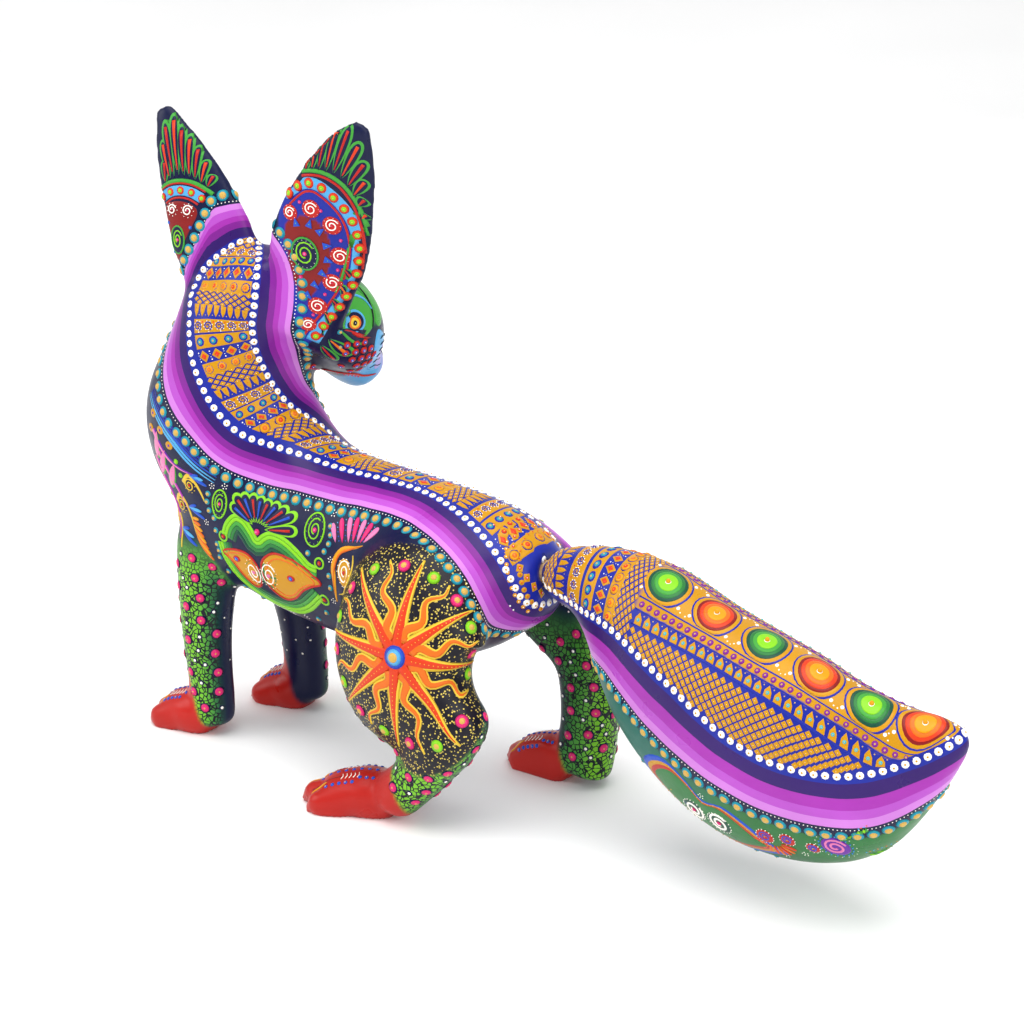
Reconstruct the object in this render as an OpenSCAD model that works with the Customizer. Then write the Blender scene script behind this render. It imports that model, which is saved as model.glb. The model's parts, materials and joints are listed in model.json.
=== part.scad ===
// Alebrije fox: a figure carved in copal wood, doweled, pegged together and painted.
// Millimetres. +Z is up, the fox walks towards -X, and its left side is -Y.

/* [Carving] */
// Thickness of the four legs, in percent
leg_fullness = 100; // [94:1:108]
// Width and depth of the tail, in percent
tail_fullness = 100; // [90:1:106]
// Width of the two ears, in percent
ear_fullness = 100; // [92:1:108]

/* [Pegs and dowels] */
// Diameter of the dowel in the neck
neck_dowel_d = 10; // [8:0.5:12]
// Diameter of the dowels that hold the legs
leg_dowel_d = 7; // [5:0.5:8]
// Diameter of the peg that the tail plugs in with
tail_peg_d = 8; // [6:0.5:9]
// Diameter of the pegs that the ears plug in with
ear_peg_d = 5; // [4:0.5:5.5]
// Radial gap round a peg that pulls out
peg_gap = 0.08; // [0.04:0.01:0.1]
// Radial glue gap round a dowel or peg that stays in
glue_gap = 0.05; // [0.02:0.01:0.1]

/* [Hidden] */
centre_x = -22.7;                 // moves the middle of the figure onto the origin
centre_y = 4.2;
big = 400;
bore_slack = 0.5;                // room past each end of a dowel
leg = leg_fullness / 100;
brush = tail_fullness / 100;
leaf = ear_fullness / 100;

// ---------------------------------------------------------------- lofting
// A station is [x, y, z, half width, half height above, half height below].

function unit(v) = v / norm(v);
function xyz(s) = [s[0], s[1], s[2]];

// Catmull-Rom blend of four stations, at t from 0 to 1
function blend(a, b, c, d, t) =
    0.5 * (2 * b + (c - a) * t + (2 * a - 5 * b + 4 * c - d) * t * t
           + (3 * b - a - 3 * c + d) * t * t * t);

// The stations with steps - 1 more between each pair
function smooth_stations(s, steps) = let (n = len(s) - 1)
    [for (i = [0:n - 1], j = [0:steps - 1])
        blend(s[max(i - 1, 0)], s[i], s[i + 1], s[min(i + 2, n)], j / steps), s[n]];

function tangent(s, i) = let (n = len(s) - 1)
    unit(xyz(s[min(i + 1, n)]) - xyz(s[max(i - 1, 0)]));

// One ring of points round a station; share shrinks it towards a domed end
function ring(s, t, side, sides, share, shift) =
    let (across = unit(side - (side * t) * t), up = cross(t, across),
         middle = xyz(s) + shift * t)
    [for (k = [0:sides - 1]) let (a = 360 * k / sides)
        middle + share * (s[3] * cos(a) * across
                          + (sin(a) > 0 ? s[4] : s[5]) * sin(a) * up)];

// A closed skin over the stations, with both ends domed by dome[0] and dome[1]
module loft(stations, side = [0, 1, 0], sides = 24, steps = 3, dome = [8, 8], dome_rings = 3) {
    s = smooth_stations(stations, steps);
    n = len(s) - 1;
    rings = [
        for (i = [0:dome_rings - 1]) let (a = 90 * (i + 0.4) / (dome_rings + 0.4))
            ring(s[0], tangent(s, 0), side, sides, sin(a), -dome[0] * cos(a)),
        for (i = [0:n]) ring(s[i], tangent(s, i), side, sides, 1, 0),
        for (i = [dome_rings - 1:-1:0]) let (a = 90 * (i + 0.4) / (dome_rings + 0.4))
            ring(s[n], tangent(s, n), side, sides, sin(a), dome[1] * cos(a))];
    last = len(rings) - 1;
    start = xyz(s[0]) - dome[0] * tangent(s, 0);
    end = xyz(s[n]) + dome[1] * tangent(s, n);
    tip = len(rings) * sides;
    polyhedron([for (r = rings) each r, start, end], [
        for (i = [0:last - 1], k = [0:sides - 1]) let (m = (k + 1) % sides)
            each [[i * sides + k, (i + 1) * sides + m, i * sides + m],
                  [i * sides + k, (i + 1) * sides + k, (i + 1) * sides + m]],
        for (k = [0:sides - 1]) [tip, k, (k + 1) % sides],
        for (k = [0:sides - 1]) [tip + 1, last * sides + (k + 1) % sides, last * sides + k]]);
}

// Stations with their half widths and heights multiplied by k
function stout(stations, k) = [for (s = stations) [s[0], s[1], s[2], k * s[3], k * s[4], k * s[5]]];

// Turns +Z onto the direction v
module along(v) rotate([0, acos(v[2] / norm(v)), atan2(v[1], v[0])]) children();

// Everything on the side of the plane through p that its normal v points to
module beyond(p, v) translate(p) along(v) translate([-big / 2, -big / 2, 0]) cube(big);

// One carved skin, so that a bore cut in it later stays a true cylinder
module carved() resize([0, 0, 0]) children();

// A round rod centred at p and lying along v
module rod(p, v, d, length) translate(p) along(v)
    cylinder(d = d, h = length, center = true, $fn = 48);

// ---------------------------------------------------------------- body and neck
trunk_stations = [
    [24, 0, 84, 15, 16, 15],
    [8, 0, 84, 26, 24, 26],
    [-20, 0, 82, 28, 30, 35],
    [-52, 0, 81, 28, 33, 34],
    [-82, 0, 85, 29, 32, 33],
    [-106, 0, 92, 28, 26, 30]];

neck_stations = [
    [-99, 0, 90, 27, 26, 24],
    [-108, 0, 108, 30, 31, 34],
    [-111, 0, 124, 30, 30, 35],
    [-108, 0, 145, 26, 25, 26],
    [-102, -1, 164, 22, 20, 22]];

withers_stations = [
    [-62, 0, 97, 20, 13, 14],
    [-80, 0, 109, 20, 14, 14],
    [-92, 0, 127, 18, 12, 14]];

left_down = [0, -1, 0];

module body_form() {
    loft(withers_stations, side = left_down, dome = [10, 10]);
    loft(trunk_stations, side = left_down, sides = 36, dome = [9, 24]);
    loft(neck_stations, side = left_down, sides = 36, dome = [18, 8]);
}

// The neck is sawn on a slant, low on the right where the jaw turns over it
neck_cut = [-104, 0, 150];
neck_way = [0, 0.6, 0.8];
neck_dowel_l = 30;

// ---------------------------------------------------------------- head and ears
skull_stations = [
    [-97, -8, 173, 17, 14, 15],
    [-95, 0, 168, 21, 18, 19],
    [-89, 10, 161, 24, 20, 21],
    [-82, 20, 153, 24, 20, 20],
    [-81, 27, 147, 18, 14, 15],
    [-81, 32, 140, 12.5, 9, 12],
    [-79, 37, 135, 10.5, 8, 10]];

head_side = [-1, 0.4, 0];

left_ear_stations = [
    [-102, -6, 160, 14, 4.5, 4.5],
    [-107, -6, 172, 17, 4.5, 4.5],
    [-112, -6, 184, 16.5, 4.5, 4.5],
    [-120, -6, 202, 13.5, 4, 4],
    [-127, -6, 216, 9.5, 3, 3],
    [-134, -5, 229, 4, 1.8, 1.8]];

right_ear_stations = [
    [-80, -2, 152, 7, 3.5, 3.5],
    [-76, -2, 162, 14, 4.5, 4.5],
    [-71, -3, 176, 17.5, 4.5, 4.5],
    [-64, -4, 195, 18, 4, 4],
    [-56, -5, 213, 14, 3.2, 3.2],
    [-50, -5, 226, 9, 2.5, 2.5],
    [-46, -5, 233, 4, 1.8, 1.8]];

// Each ear is sawn off square to its own length, just above the crown
left_seat = [-113, -6, 184];
left_pull = unit([-0.43, 0.02, 0.9]);
right_seat = [-70, -3, 182];
right_pull = unit([0.3, -0.04, 0.95]);
ear_peg_l = 20;

function wide(stations, k) = [for (s = stations) [s[0], s[1], s[2], k * s[3], s[4], s[5]]];

// The hollow in the front of an ear is a smaller leaf, moved forward and starting above the peg
module ear_form(stations) {
    n = len(stations) - 1;
    difference() {
        loft(wide(stations, leaf), side = [0.95, 0.3, 0], dome = [4, 2]);
        translate([-1, 4.5, 0])
            loft(wide([for (i = [3:n - 1]) stations[i]], 0.72 * leaf), side = [0.95, 0.3, 0], dome = [6, 3]);
    }
}

module skull_form() {
    loft(skull_stations, side = head_side, sides = 28, dome = [8, 4]);
    body_form();
}

// ---------------------------------------------------------------- legs
module above_ground() intersection() {
    children();
    beyond([0, 0, 0], [0, 0, 1]);
}

// A paw with its ankle over place, three toes towards -X and a claw on each
module paw(place, length, turn = 0) translate(place) rotate(turn) {
    loft([[0.3 * length, 0, 7, 9, 8, 11], [0, 0, 8, 10.5, 8, 12], [-0.45 * length, 0, 6, 9.5, 6.5, 10]],
         side = left_down, sides = 18, steps = 2, dome = [5, 4], dome_rings = 2);
    for (y = [-7.5, 0, 7.5]) {
        reach = length * (y == 0 ? 0.75 : 0.6);
        loft([[-0.3 * length, y * 0.8, 5.5, 4.5, 6, 9], [-reach, y, 4.5, 4, 4, 8]],
             side = left_down, sides = 12, steps = 2, dome = [3, 4], dome_rings = 2);
        loft([[-reach + 2, y, 4.5, 1.8, 3.5, 3], [-reach - 4.5, y, 1.5, 1.2, 1.5, 4]],
             side = left_down, sides = 8, steps = 1, dome = [1, 1.2], dome_rings = 1);
    }
}

front_top = 80;
module front_left_form() above_ground() intersection() {
    union() {
        loft(stout([[-110, -13, 92, 12, 13, 13], [-112, -15, 76, 12, 13, 13], [-113, -16, 60, 11, 11, 12], [-113, -18, 40, 9, 10, 10],
              [-112, -18, 20, 8, 9, 9], [-112, -18, 7, 8, 9, 9]], leg), sides = 20, dome = [6, 4]);
        paw([-120, -18, 0], 20);
    }
    beyond([0, 0, front_top], [0, 0, -1]);
}

module front_right_form() above_ground() intersection() {
    union() {
        loft(stout([[-108, 12, 92, 12, 13, 13], [-105, 14, 76, 12, 13, 13], [-102, 16, 60, 11, 12, 12], [-99, 19, 40, 9, 10, 10],
              [-98, 20, 20, 8, 9, 9], [-98, 20, 7, 8, 9, 9]], leg), sides = 20, dome = [6, 4]);
        paw([-104, 20, 0], 18);
    }
    beyond([0, 0, front_top], [0, 0, -1]);
}

hind_side = 18;
module hind_left_form() above_ground() intersection() {
    union() {
        loft(stout([[-6, -21, 90, 14, 22, 22], [-8, -29, 78, 16, 29, 28], [-7, -33, 61, 16, 31, 32],
              [-1, -34, 52, 15, 25, 31], [6, -35, 46, 13, 19, 23], [14, -36, 43, 12, 13, 13]], leg),
             sides = 28, dome = [8, 5]);
        loft(stout([[20, -37, 47, 10, 9, 9], [12, -38, 36, 11, 11, 11], [1, -36, 22, 10, 9, 10],
              [-12, -35, 9, 10, 9, 9]], leg), sides = 20, dome = [6, 4]);
        paw([-24, -36, 0], 27, 19);
    }
    beyond([0, -hind_side, 0], [0, -1, 0]);
}

module hind_right_form() above_ground() intersection() {
    union() {
        loft(stout([[2, 15, 88, 13, 16, 20], [8, 20, 76, 14, 20, 22], [17, 25, 62, 13, 16, 17],
              [26, 27, 48, 12, 13, 13], [27, 27, 30, 11, 11, 11], [26, 27, 16, 10, 11, 11],
              [24, 26, 7, 10, 12, 11]], leg), sides = 24, dome = [8, 4]);
        paw([12, 25, 0], 20);
    }
    beyond([0, hind_side, 0], [0, 1, 0]);
}

leg_dowel_l = 32;
up = [0, 0, 1];
side_way = [0, 1, 0];
front_left_dowel_at = [-112, -15, front_top];
front_right_dowel_at = [-104.5, 14.5, front_top];
hind_left_dowel_at = [-8, -hind_side, 80];
hind_right_dowel_at = [9, hind_side, 74];

// ---------------------------------------------------------------- tail
tail_stations = [
    [24, 0, 89, 9, 9, 9],
    [36, -1, 90, 10, 11, 11],
    [51, -3, 90, 14, 16, 15],
    [68, -5, 82, 20, 27, 25],
    [90, -8, 66, 25, 36, 36],
    [118, -10, 55, 26, 40, 43],
    [147, -12, 54, 22, 38, 35],
    [170, -13, 63, 14, 26, 17],
    [186, -13, 76, 6, 6, 7]];

tail_seat = [29, 0, 89];
tail_way = [1, 0, 0];
tail_seat_d = 26;
tail_peg_l = 40;

module tail_form() loft(stout(tail_stations, brush), side = [0, 1, 0.3], sides = 36, dome = [4, 4]);

// ---------------------------------------------------------------- the pieces
// A bore for a rod that stays in or pulls out, with room past both of its ends
module bore(p, v, d, length, gap) rod(p, v, d + 2 * gap, length + 2 * bore_slack);

module torso() color("midnightblue") difference() {
    carved() difference() {
        body_form();
        beyond(neck_cut, neck_way);
        front_left_form();
        front_right_form();
        hind_left_form();
        hind_right_form();
    }
    translate(tail_seat) along(tail_way) cylinder(d = tail_seat_d, h = 20, $fn = 64);
    bore(neck_cut, neck_way, neck_dowel_d, neck_dowel_l, glue_gap);
    bore(front_left_dowel_at, up, leg_dowel_d, leg_dowel_l, glue_gap);
    bore(front_right_dowel_at, up, leg_dowel_d, leg_dowel_l, glue_gap);
    bore(hind_left_dowel_at, side_way, leg_dowel_d, leg_dowel_l, glue_gap);
    bore(hind_right_dowel_at, side_way, leg_dowel_d, leg_dowel_l, glue_gap);
    bore(tail_seat, tail_way, tail_peg_d, tail_peg_l, peg_gap);
}

module ear_stump(stations, seat, pull) difference() {
    loft(wide(stations, leaf), side = [0.95, 0.3, 0], dome = [4, 2]);
    beyond(seat, pull);
}

module head() color("seagreen") difference() {
    carved() intersection() {
        union() {
            skull_form();
            ear_stump(left_ear_stations, left_seat, left_pull);
            ear_stump(right_ear_stations, right_seat, right_pull);
        }
        beyond(neck_cut, neck_way);
    }
    bore(neck_cut, neck_way, neck_dowel_d, neck_dowel_l, glue_gap);
    bore(left_seat, left_pull, ear_peg_d, ear_peg_l, peg_gap);
    bore(right_seat, right_pull, ear_peg_d, ear_peg_l, peg_gap);
}

module bored_leg(dowel_at, way) color("darkgreen") difference() {
    carved() children();
    bore(dowel_at, way, leg_dowel_d, leg_dowel_l, glue_gap);
}

module front_left_leg() bored_leg(front_left_dowel_at, up) front_left_form();
module front_right_leg() bored_leg(front_right_dowel_at, up) front_right_form();
module hind_left_leg() bored_leg(hind_left_dowel_at, side_way) hind_left_form();
module hind_right_leg() bored_leg(hind_right_dowel_at, side_way) hind_right_form();

module ear(stations, seat, pull) color("firebrick") difference() {
    carved() intersection() {
        ear_form(stations);
        beyond(seat, pull);
    }
    bore(seat, pull, ear_peg_d, ear_peg_l, glue_gap);
}

module left_ear() ear(left_ear_stations, left_seat, left_pull);
module right_ear() ear(right_ear_stations, right_seat, right_pull);

module tail() color("mediumorchid") difference() {
    carved() intersection() {
        tail_form();
        beyond(tail_seat, tail_way);
    }
    bore(tail_seat, tail_way, tail_peg_d, tail_peg_l, glue_gap);
}

module neck_dowel() color("burlywood") rod(neck_cut, neck_way, neck_dowel_d, neck_dowel_l);
module leg_dowel(at, way) color("burlywood") rod(at, way, leg_dowel_d, leg_dowel_l);
module front_left_dowel() leg_dowel(front_left_dowel_at, up);
module front_right_dowel() leg_dowel(front_right_dowel_at, up);
module hind_left_dowel() leg_dowel(hind_left_dowel_at, side_way);
module hind_right_dowel() leg_dowel(hind_right_dowel_at, side_way);
module left_ear_peg() color("burlywood") rod(left_seat, left_pull, ear_peg_d, ear_peg_l);
module right_ear_peg() color("burlywood") rod(right_seat, right_pull, ear_peg_d, ear_peg_l);
module tail_peg() color("burlywood") rod(tail_seat, tail_way, tail_peg_d, tail_peg_l);

module placed() translate([centre_x, centre_y, 0]) children();

placed() torso();
placed() head();
placed() front_left_leg();
placed() front_right_leg();
placed() hind_left_leg();
placed() hind_right_leg();
placed() left_ear();
placed() right_ear();
placed() tail();
placed() neck_dowel();
placed() front_left_dowel();
placed() front_right_dowel();
placed() hind_left_dowel();
placed() hind_right_dowel();
placed() left_ear_peg();
placed() right_ear_peg();
placed() tail_peg();
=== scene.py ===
import json
import math

import bpy
import numpy as np
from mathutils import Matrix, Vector
from mathutils.bvhtree import BVHTree


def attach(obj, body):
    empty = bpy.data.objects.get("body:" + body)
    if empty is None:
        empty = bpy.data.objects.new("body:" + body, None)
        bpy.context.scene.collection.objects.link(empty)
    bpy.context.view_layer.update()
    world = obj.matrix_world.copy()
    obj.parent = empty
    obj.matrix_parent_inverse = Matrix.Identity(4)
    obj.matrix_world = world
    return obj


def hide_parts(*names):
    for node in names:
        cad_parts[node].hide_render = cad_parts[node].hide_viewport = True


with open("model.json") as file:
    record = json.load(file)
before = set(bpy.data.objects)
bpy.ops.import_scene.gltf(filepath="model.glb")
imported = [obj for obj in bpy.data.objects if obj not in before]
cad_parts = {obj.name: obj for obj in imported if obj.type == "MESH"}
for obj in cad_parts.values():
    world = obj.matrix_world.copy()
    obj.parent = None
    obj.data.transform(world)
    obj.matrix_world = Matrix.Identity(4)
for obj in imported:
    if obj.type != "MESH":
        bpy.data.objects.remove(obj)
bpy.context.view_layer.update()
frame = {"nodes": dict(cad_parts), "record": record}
scene = bpy.context.scene
MM = 0.001                      # everything below is worked out in millimetres
CENTRE = np.array([-22.7, 4.2, 0.0])   # where part.scad moves the figure's own origin to
FINE_VOXEL = 1.1
VOXEL = FINE_VOXEL
SKIN_ROUNDS, TAIL_ROUNDS = 150, 120    # rounds of smoothing at the fine voxel size
PAINT_DEPTH = 0.72                     # how much deeper the paints are than their palette colours
FINE_BEADS, TEAL_BEADS = 14.3, 16.6    # distances of the body's bead rows from its white bead line
TAIL_FINE_BEADS, TAIL_TEAL_BEADS = 16.0, 18.2
SUN_BALL, SUN_REACH = 34, 35           # the thigh is painted as a ball of the first radius, out to the second
VIEW_AZIMUTH, VIEW_ELEVATION, VIEW_DISTANCE = 35, 20, 0.88


# ------------------------------------------------------------------ small maths
def unit(v):
    v = np.asarray(v, float)
    return v / max(np.linalg.norm(v), 1e-12)


def lerp(a, b, t):
    return a + (b - a) * t


def step(a, b, x):
    """0 below a, 1 above b, smooth between."""
    t = np.clip((np.asarray(x, float) - a) / (b - a), 0, 1)
    return t * t * (3 - 2 * t)


def curve(points, n=8, closed=False):
    """A smooth line through the points, n steps between each pair."""
    p = np.array(points, float)
    k = len(p)
    out = []
    for i in range(k if closed else k - 1):
        if closed:
            a, b, c, d = (p[(i + j) % k] for j in (-1, 0, 1, 2))
        else:
            a, b, c, d = p[max(i - 1, 0)], p[i], p[i + 1], p[min(i + 2, k - 1)]
        for j in range(n):
            t = j / n
            out.append(0.5 * (2 * b + (c - a) * t + (2 * a - 5 * b + 4 * c - d) * t * t
                              + (3 * b - a - 3 * c + d) * t ** 3))
    if not closed:
        out.append(p[-1])
    return np.array(out)


def spaced(points, pitch, closed=False):
    """Points along a line at even spacing."""
    p = np.array(points, float)
    if closed:
        p = np.vstack([p, p[:1]])
    seg = np.linalg.norm(np.diff(p, axis=0), axis=1)
    s = np.concatenate([[0], np.cumsum(seg)])
    n = max(int(round(s[-1] / pitch)), 1)
    t = np.linspace(0, s[-1], n + 1)
    if closed:
        t = t[:-1]
    return np.stack([np.interp(t, s, p[:, i]) for i in range(p.shape[1])], 1)


# ------------------------------------------------------------------ the carved skin
# The carved nodes are skinned together, smoothed by given strengths, and cut again along their seams.
CARVED = ["torso", "head", "front_left_leg", "front_right_leg", "hind_left_leg", "hind_right_leg"]
EARS = ["left_ear", "right_ear"]
RODS = ["neck_dowel", "front_left_dowel", "front_right_dowel", "hind_left_dowel", "hind_right_dowel",
        "left_ear_peg", "right_ear_peg"]


def node_mesh(name):
    me = frame["nodes"][name].data
    co = np.empty(3 * len(me.vertices))
    me.vertices.foreach_get("co", co)
    me.calc_loop_triangles()
    tri = np.empty(3 * len(me.loop_triangles), np.int32)
    me.loop_triangles.foreach_get("vertices", tri)
    return co.reshape(-1, 3) / MM, tri.reshape(-1, 3)


def stacked(names):
    vs, fs, owner, base = [], [], [], 0
    for k, n in enumerate(names):
        v, f = node_mesh(n)
        vs.append(v)
        fs.append(f + base)
        owner += [k] * len(f)
        base += len(v)
    return np.vstack(vs), np.vstack(fs), np.array(owner)


def largest_part(v, quads):
    e = np.vstack([quads[:, [i, (i + 1) % 4]] for i in range(4)])
    label = np.arange(len(v))
    while True:
        m = np.minimum(label[e[:, 0]], label[e[:, 1]])
        new = label.copy()
        np.minimum.at(new, e[:, 0], m)
        np.minimum.at(new, e[:, 1], m)
        new = new[new]
        if (new == label).all():
            break
        label = new
    keep = label == np.bincount(label).argmax()
    index = np.cumsum(keep) - 1
    return v[keep], index[quads[keep[quads[:, 0]]]]


def voxel_skin(names):
    v, f, _ = stacked(names)
    me = bpy.data.meshes.new("shell")
    me.from_pydata((v * MM).tolist(), [], f.tolist())
    ob = bpy.data.objects.new("shell", me)
    scene.collection.objects.link(ob)
    mod = ob.modifiers.new("Remesh", "REMESH")
    mod.mode = "VOXEL"
    mod.voxel_size = VOXEL * MM
    mod.adaptivity = 0
    out = bpy.data.meshes.new_from_object(ob.evaluated_get(bpy.context.evaluated_depsgraph_get()))
    co = np.empty(3 * len(out.vertices))
    out.vertices.foreach_get("co", co)
    loops = np.empty(len(out.loops), np.int32)
    out.loops.foreach_get("vertex_index", loops)
    bpy.data.objects.remove(ob)
    bpy.data.meshes.remove(me)
    bpy.data.meshes.remove(out)
    return largest_part(co.reshape(-1, 3) / MM, loops.reshape(-1, 4))


def edges_of(faces):
    k = faces.shape[1]
    e = np.sort(np.vstack([faces[:, [i, (i + 1) % k]] for i in range(k)]), 1)
    return np.unique(e, axis=0)


def spread(values, e, rounds, share=0.5, weight=None):
    """Each value moves towards the mean of its neighbours' values."""
    n = len(values)
    count = np.bincount(e[:, 0], minlength=n) + np.bincount(e[:, 1], minlength=n)
    v = values.reshape(n, -1).astype(float)
    w = share if weight is None else share * weight[:, None]
    for _ in range(rounds):
        mean = np.stack([np.bincount(e[:, 0], v[e[:, 1], i], n) + np.bincount(e[:, 1], v[e[:, 0], i], n)
                         for i in range(v.shape[1])], 1) / count[:, None]
        v = v + w * (mean - v)
    return v.reshape(values.shape)


def vertex_normals(v, tri):
    a, b, c = v[tri[:, 0]], v[tri[:, 1]], v[tri[:, 2]]
    n = np.cross(b - a, c - a)
    out = np.zeros_like(v)
    for i in range(3):
        for k in range(3):
            out[:, k] += np.bincount(tri[:, i], n[:, k], len(v))
    return out / np.maximum(np.linalg.norm(out, axis=1), 1e-12)[:, None]


def nearest_node(v, names):
    cv, cf, owner = stacked(names)
    tree = BVHTree.FromPolygons(cv.tolist(), cf.tolist())
    return owner[[tree.find_nearest(p)[2] for p in v.tolist()]]


def split_quads(quads):
    return np.vstack([quads[:, [0, 1, 2]], quads[:, [0, 2, 3]]])


SEATS = {"left_ear": ((-113, -6, 184), (-0.43, 0.02, 0.9)),
         "right_ear": ((-70, -3, 182), (0.3, -0.04, 0.95))}

NAMES = CARVED + EARS
skin_v, quads = voxel_skin(NAMES + RODS)
links = edges_of(quads)
owner = nearest_node(skin_v, NAMES)
# how strongly each node of NAMES is smoothed
SMOOTH = np.array([1, 0.22, 0.25, 0.25, 0.45, 0.3, 0.05, 0.05])
strength = SMOOTH[owner]
strength[skin_v[:, 2] < 20] = 0.07            # the toes and claws stay crisp
strength = spread(strength, links, 12)
rounds = int(SKIN_ROUNDS * (FINE_VOXEL / VOXEL) ** 2)
resting = skin_v[:, 2] < 0.6
low = skin_v[:, 2].copy()
skin_v = spread(skin_v, links, rounds, 0.5, strength)
skin_v[resting, 2] = np.clip(low[resting], 0.02, None)
skin_t = split_quads(quads)
one_hot = spread(np.eye(len(NAMES))[owner], links, 8)
owner = one_hot.argmax(1)
middle = skin_v[skin_t].mean(1)
face_owner = np.array([np.bincount(row, minlength=len(NAMES)).argmax() for row in owner[skin_t]])
for name, (seat, pull) in SEATS.items():
    at, way = np.array(seat) + CENTRE, unit(pull)
    side = np.abs(middle - at) @ np.ones(3) < 90
    ear = side & ((middle - at) @ way > 0) & (np.sign(middle[:,
            0] - (-115)) == (1 if name == "right_ear" else -1))
    k = NAMES.index(name)
    face_owner[(face_owner == k) & ~ear] = 1
    face_owner[ear] = k
    rim = np.intersect1d(skin_t[face_owner == k], skin_t[face_owner == 1])
    skin_v[rim] -= ((skin_v[rim] - at) @ way)[:, None] * way
skin_n = vertex_normals(skin_v, skin_t)

tail_v, tail_q = voxel_skin(["tail", "tail_peg"])
tail_links = edges_of(tail_q)
tail_v = spread(tail_v, tail_links, int(TAIL_ROUNDS * (FINE_VOXEL / VOXEL) ** 2), 0.5,
                np.full(len(tail_v), 0.8))
tail_t = split_quads(tail_q)
tail_n = vertex_normals(tail_v, tail_t)

skin_tree = BVHTree.FromPolygons(skin_v.tolist(), skin_t.tolist())
tail_tree = BVHTree.FromPolygons(tail_v.tolist(), tail_t.tolist())


class Skin:
    """A painted surface: its points, normals, triangles and the body that each triangle belongs to."""

    def __init__(self, v, n, t, tree, bodies):
        self.v, self.n, self.t, self.tree, self.bodies = v, n, t, tree, bodies

    def smooth_normal(self, p, i):
        a, b, c = self.t[i]
        va, vb, vc = self.v[a], self.v[b], self.v[c]
        w = np.array([np.linalg.norm(np.cross(vb - p, vc - p)), np.linalg.norm(np.cross(vc - p, va - p)),
                      np.linalg.norm(np.cross(va - p, vb - p))]) + 1e-9
        return unit(w @ self.n[[a, b, c]])

    def nearest(self, p):
        q, _, i, _ = self.tree.find_nearest(Vector(p))
        q = np.array(q)
        return q, self.smooth_normal(q, i), self.bodies[i]

    def cast(self, start, way):
        q, _, i, _ = self.tree.ray_cast(Vector(start), Vector(way))
        if q is None:
            return self.nearest(np.array(start) + 60 * np.array(way))
        q = np.array(q)
        return q, self.smooth_normal(q, i), self.bodies[i]


BODY_OF = {n: b for b, ns in frame["record"]["behaviour"]["bodies"].items() for n in ns}
body_names = np.array([BODY_OF[n] for n in NAMES])
skin = Skin(skin_v, skin_n, skin_t, skin_tree, body_names[face_owner])
brush = Skin(tail_v, tail_n, tail_t, tail_tree, np.array([BODY_OF["tail"]] * len(tail_t)))

# ------------------------------------------------------------------ the strip along the back
# Points on its near (left) and far (right) bead lines, one pair to each row of pattern.
NEAR = [(-124.5, 1, 185), (-128, -3.5, 183), (-132.4, -6.5, 179.2), (-136, -8.5, 175.4), (-137.5, -11, 171.8),
        (-136.6, -13.6, 168.4), (-135.5, -16.1, 164.5), (-134.4, -18.3, 159.2), (-133.2, -19.8, 153.6),
        (-131.3, -21.2, 148), (-128.9, -21.7, 143.3), (-126.3, -22, 138.8), (-123.6, -21.8, 134.6),
        (-120.8, -21.4, 130.8), (-117.6, -20.5, 127.1), (-114.3, -19, 123.8), (-110.6, -16.9, 121.2),
        (-106.6, -14.6, 119.6), (-102, -12.2, 118.2), (-97.3, -10, 116.9), (-92.6, -7.6, 115.6),
        (-87.8, -5.8, 114.4), (-82.5, -4.8, 113.4), (-76.8, -4.2, 112.8), (-70.3, -3.7, 112.3),
        (-63.3, -2.9, 112.1), (-56.5, -2.6, 111.8), (-50.3, -2.3, 111.6), (-43.6, -2.5, 111),
        (-36.5, -3.3, 109.9), (-29.8, -5, 108.6), (-23.3, -6.7, 107), (-16.5, -8.8, 104.6),
        (-10.2, -10.2, 101), (-4.9, -11, 96.4), (-1.6, -11.2, 92)]
FAR = [(-119, 3.5, 185), (-114.5, -1.8, 184.2), (-111.9, -5, 182), (-110.2, -8, 179), (-108.7, -10.8, 174.6),
       (-108.4, -12.2, 169.5), (-109.3, -12.3, 164.9), (-110.4, -11.6, 161), (-110.7, -11, 157.6),
       (-110.6, -10.5, 154), (-110.4, -9.8, 150.5), (-109.9, -8.6, 147), (-108.9, -6.7, 142.4),
       (-107.8, -4.8, 138), (-106.6, -3, 134.4), (-104.2, -1.6, 131.4), (-101.3, 1, 128), (-98.2, 5, 124.8),
       (-94.6, 8.6, 121.8), (-90.6, 11.2, 119.2), (-86.8, 12.8, 117.2), (-83, 13.7, 115.6), (-78.7, 14.2,
               114.2),
       (-73.6, 14.4, 113.4), (-67.5, 14.1, 112.9), (-61, 13.6, 112.6), (-54.8, 13.2, 112.2), (-49, 13, 112),
       (-42.8, 13, 111.3), (-36, 13.4, 110.3), (-29.2, 14, 108.9), (-22.6, 14.4, 107.3), (-16, 14.4, 105.6),
       (-10, 14.4, 103), (-5, 15, 99), (-1.4, 17, 93.5)]
ROUND_TAIL = [(1, -11, 88), (3.1, -9.6, 83), (5.6, -6, 80), (6, 4.2, 79), (5.6, 14.4, 80), (3.1, 18, 84),
              (0.6, 18.5, 89)]


def settle(s, points, lift=2.0):
    """Each point moved onto the skin, from a little outside it."""
    out = []
    for p in points:
        q, n, _ = s.nearest(p)
        out.append(s.nearest(q + lift * n)[0])
    return np.array(out)


near_line = settle(skin, curve(NEAR, 4))
far_line = settle(skin, curve(FAR, 4))
round_line = settle(skin, curve([NEAR[-1]] + ROUND_TAIL + [FAR[-1]], 4)[1:-1])
bead_loop = spaced(settle(skin, curve(np.vstack([near_line[::2], round_line[::2], far_line[::-1][::2]]), 3,
                                      True)),
                   2.0, True)


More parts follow.
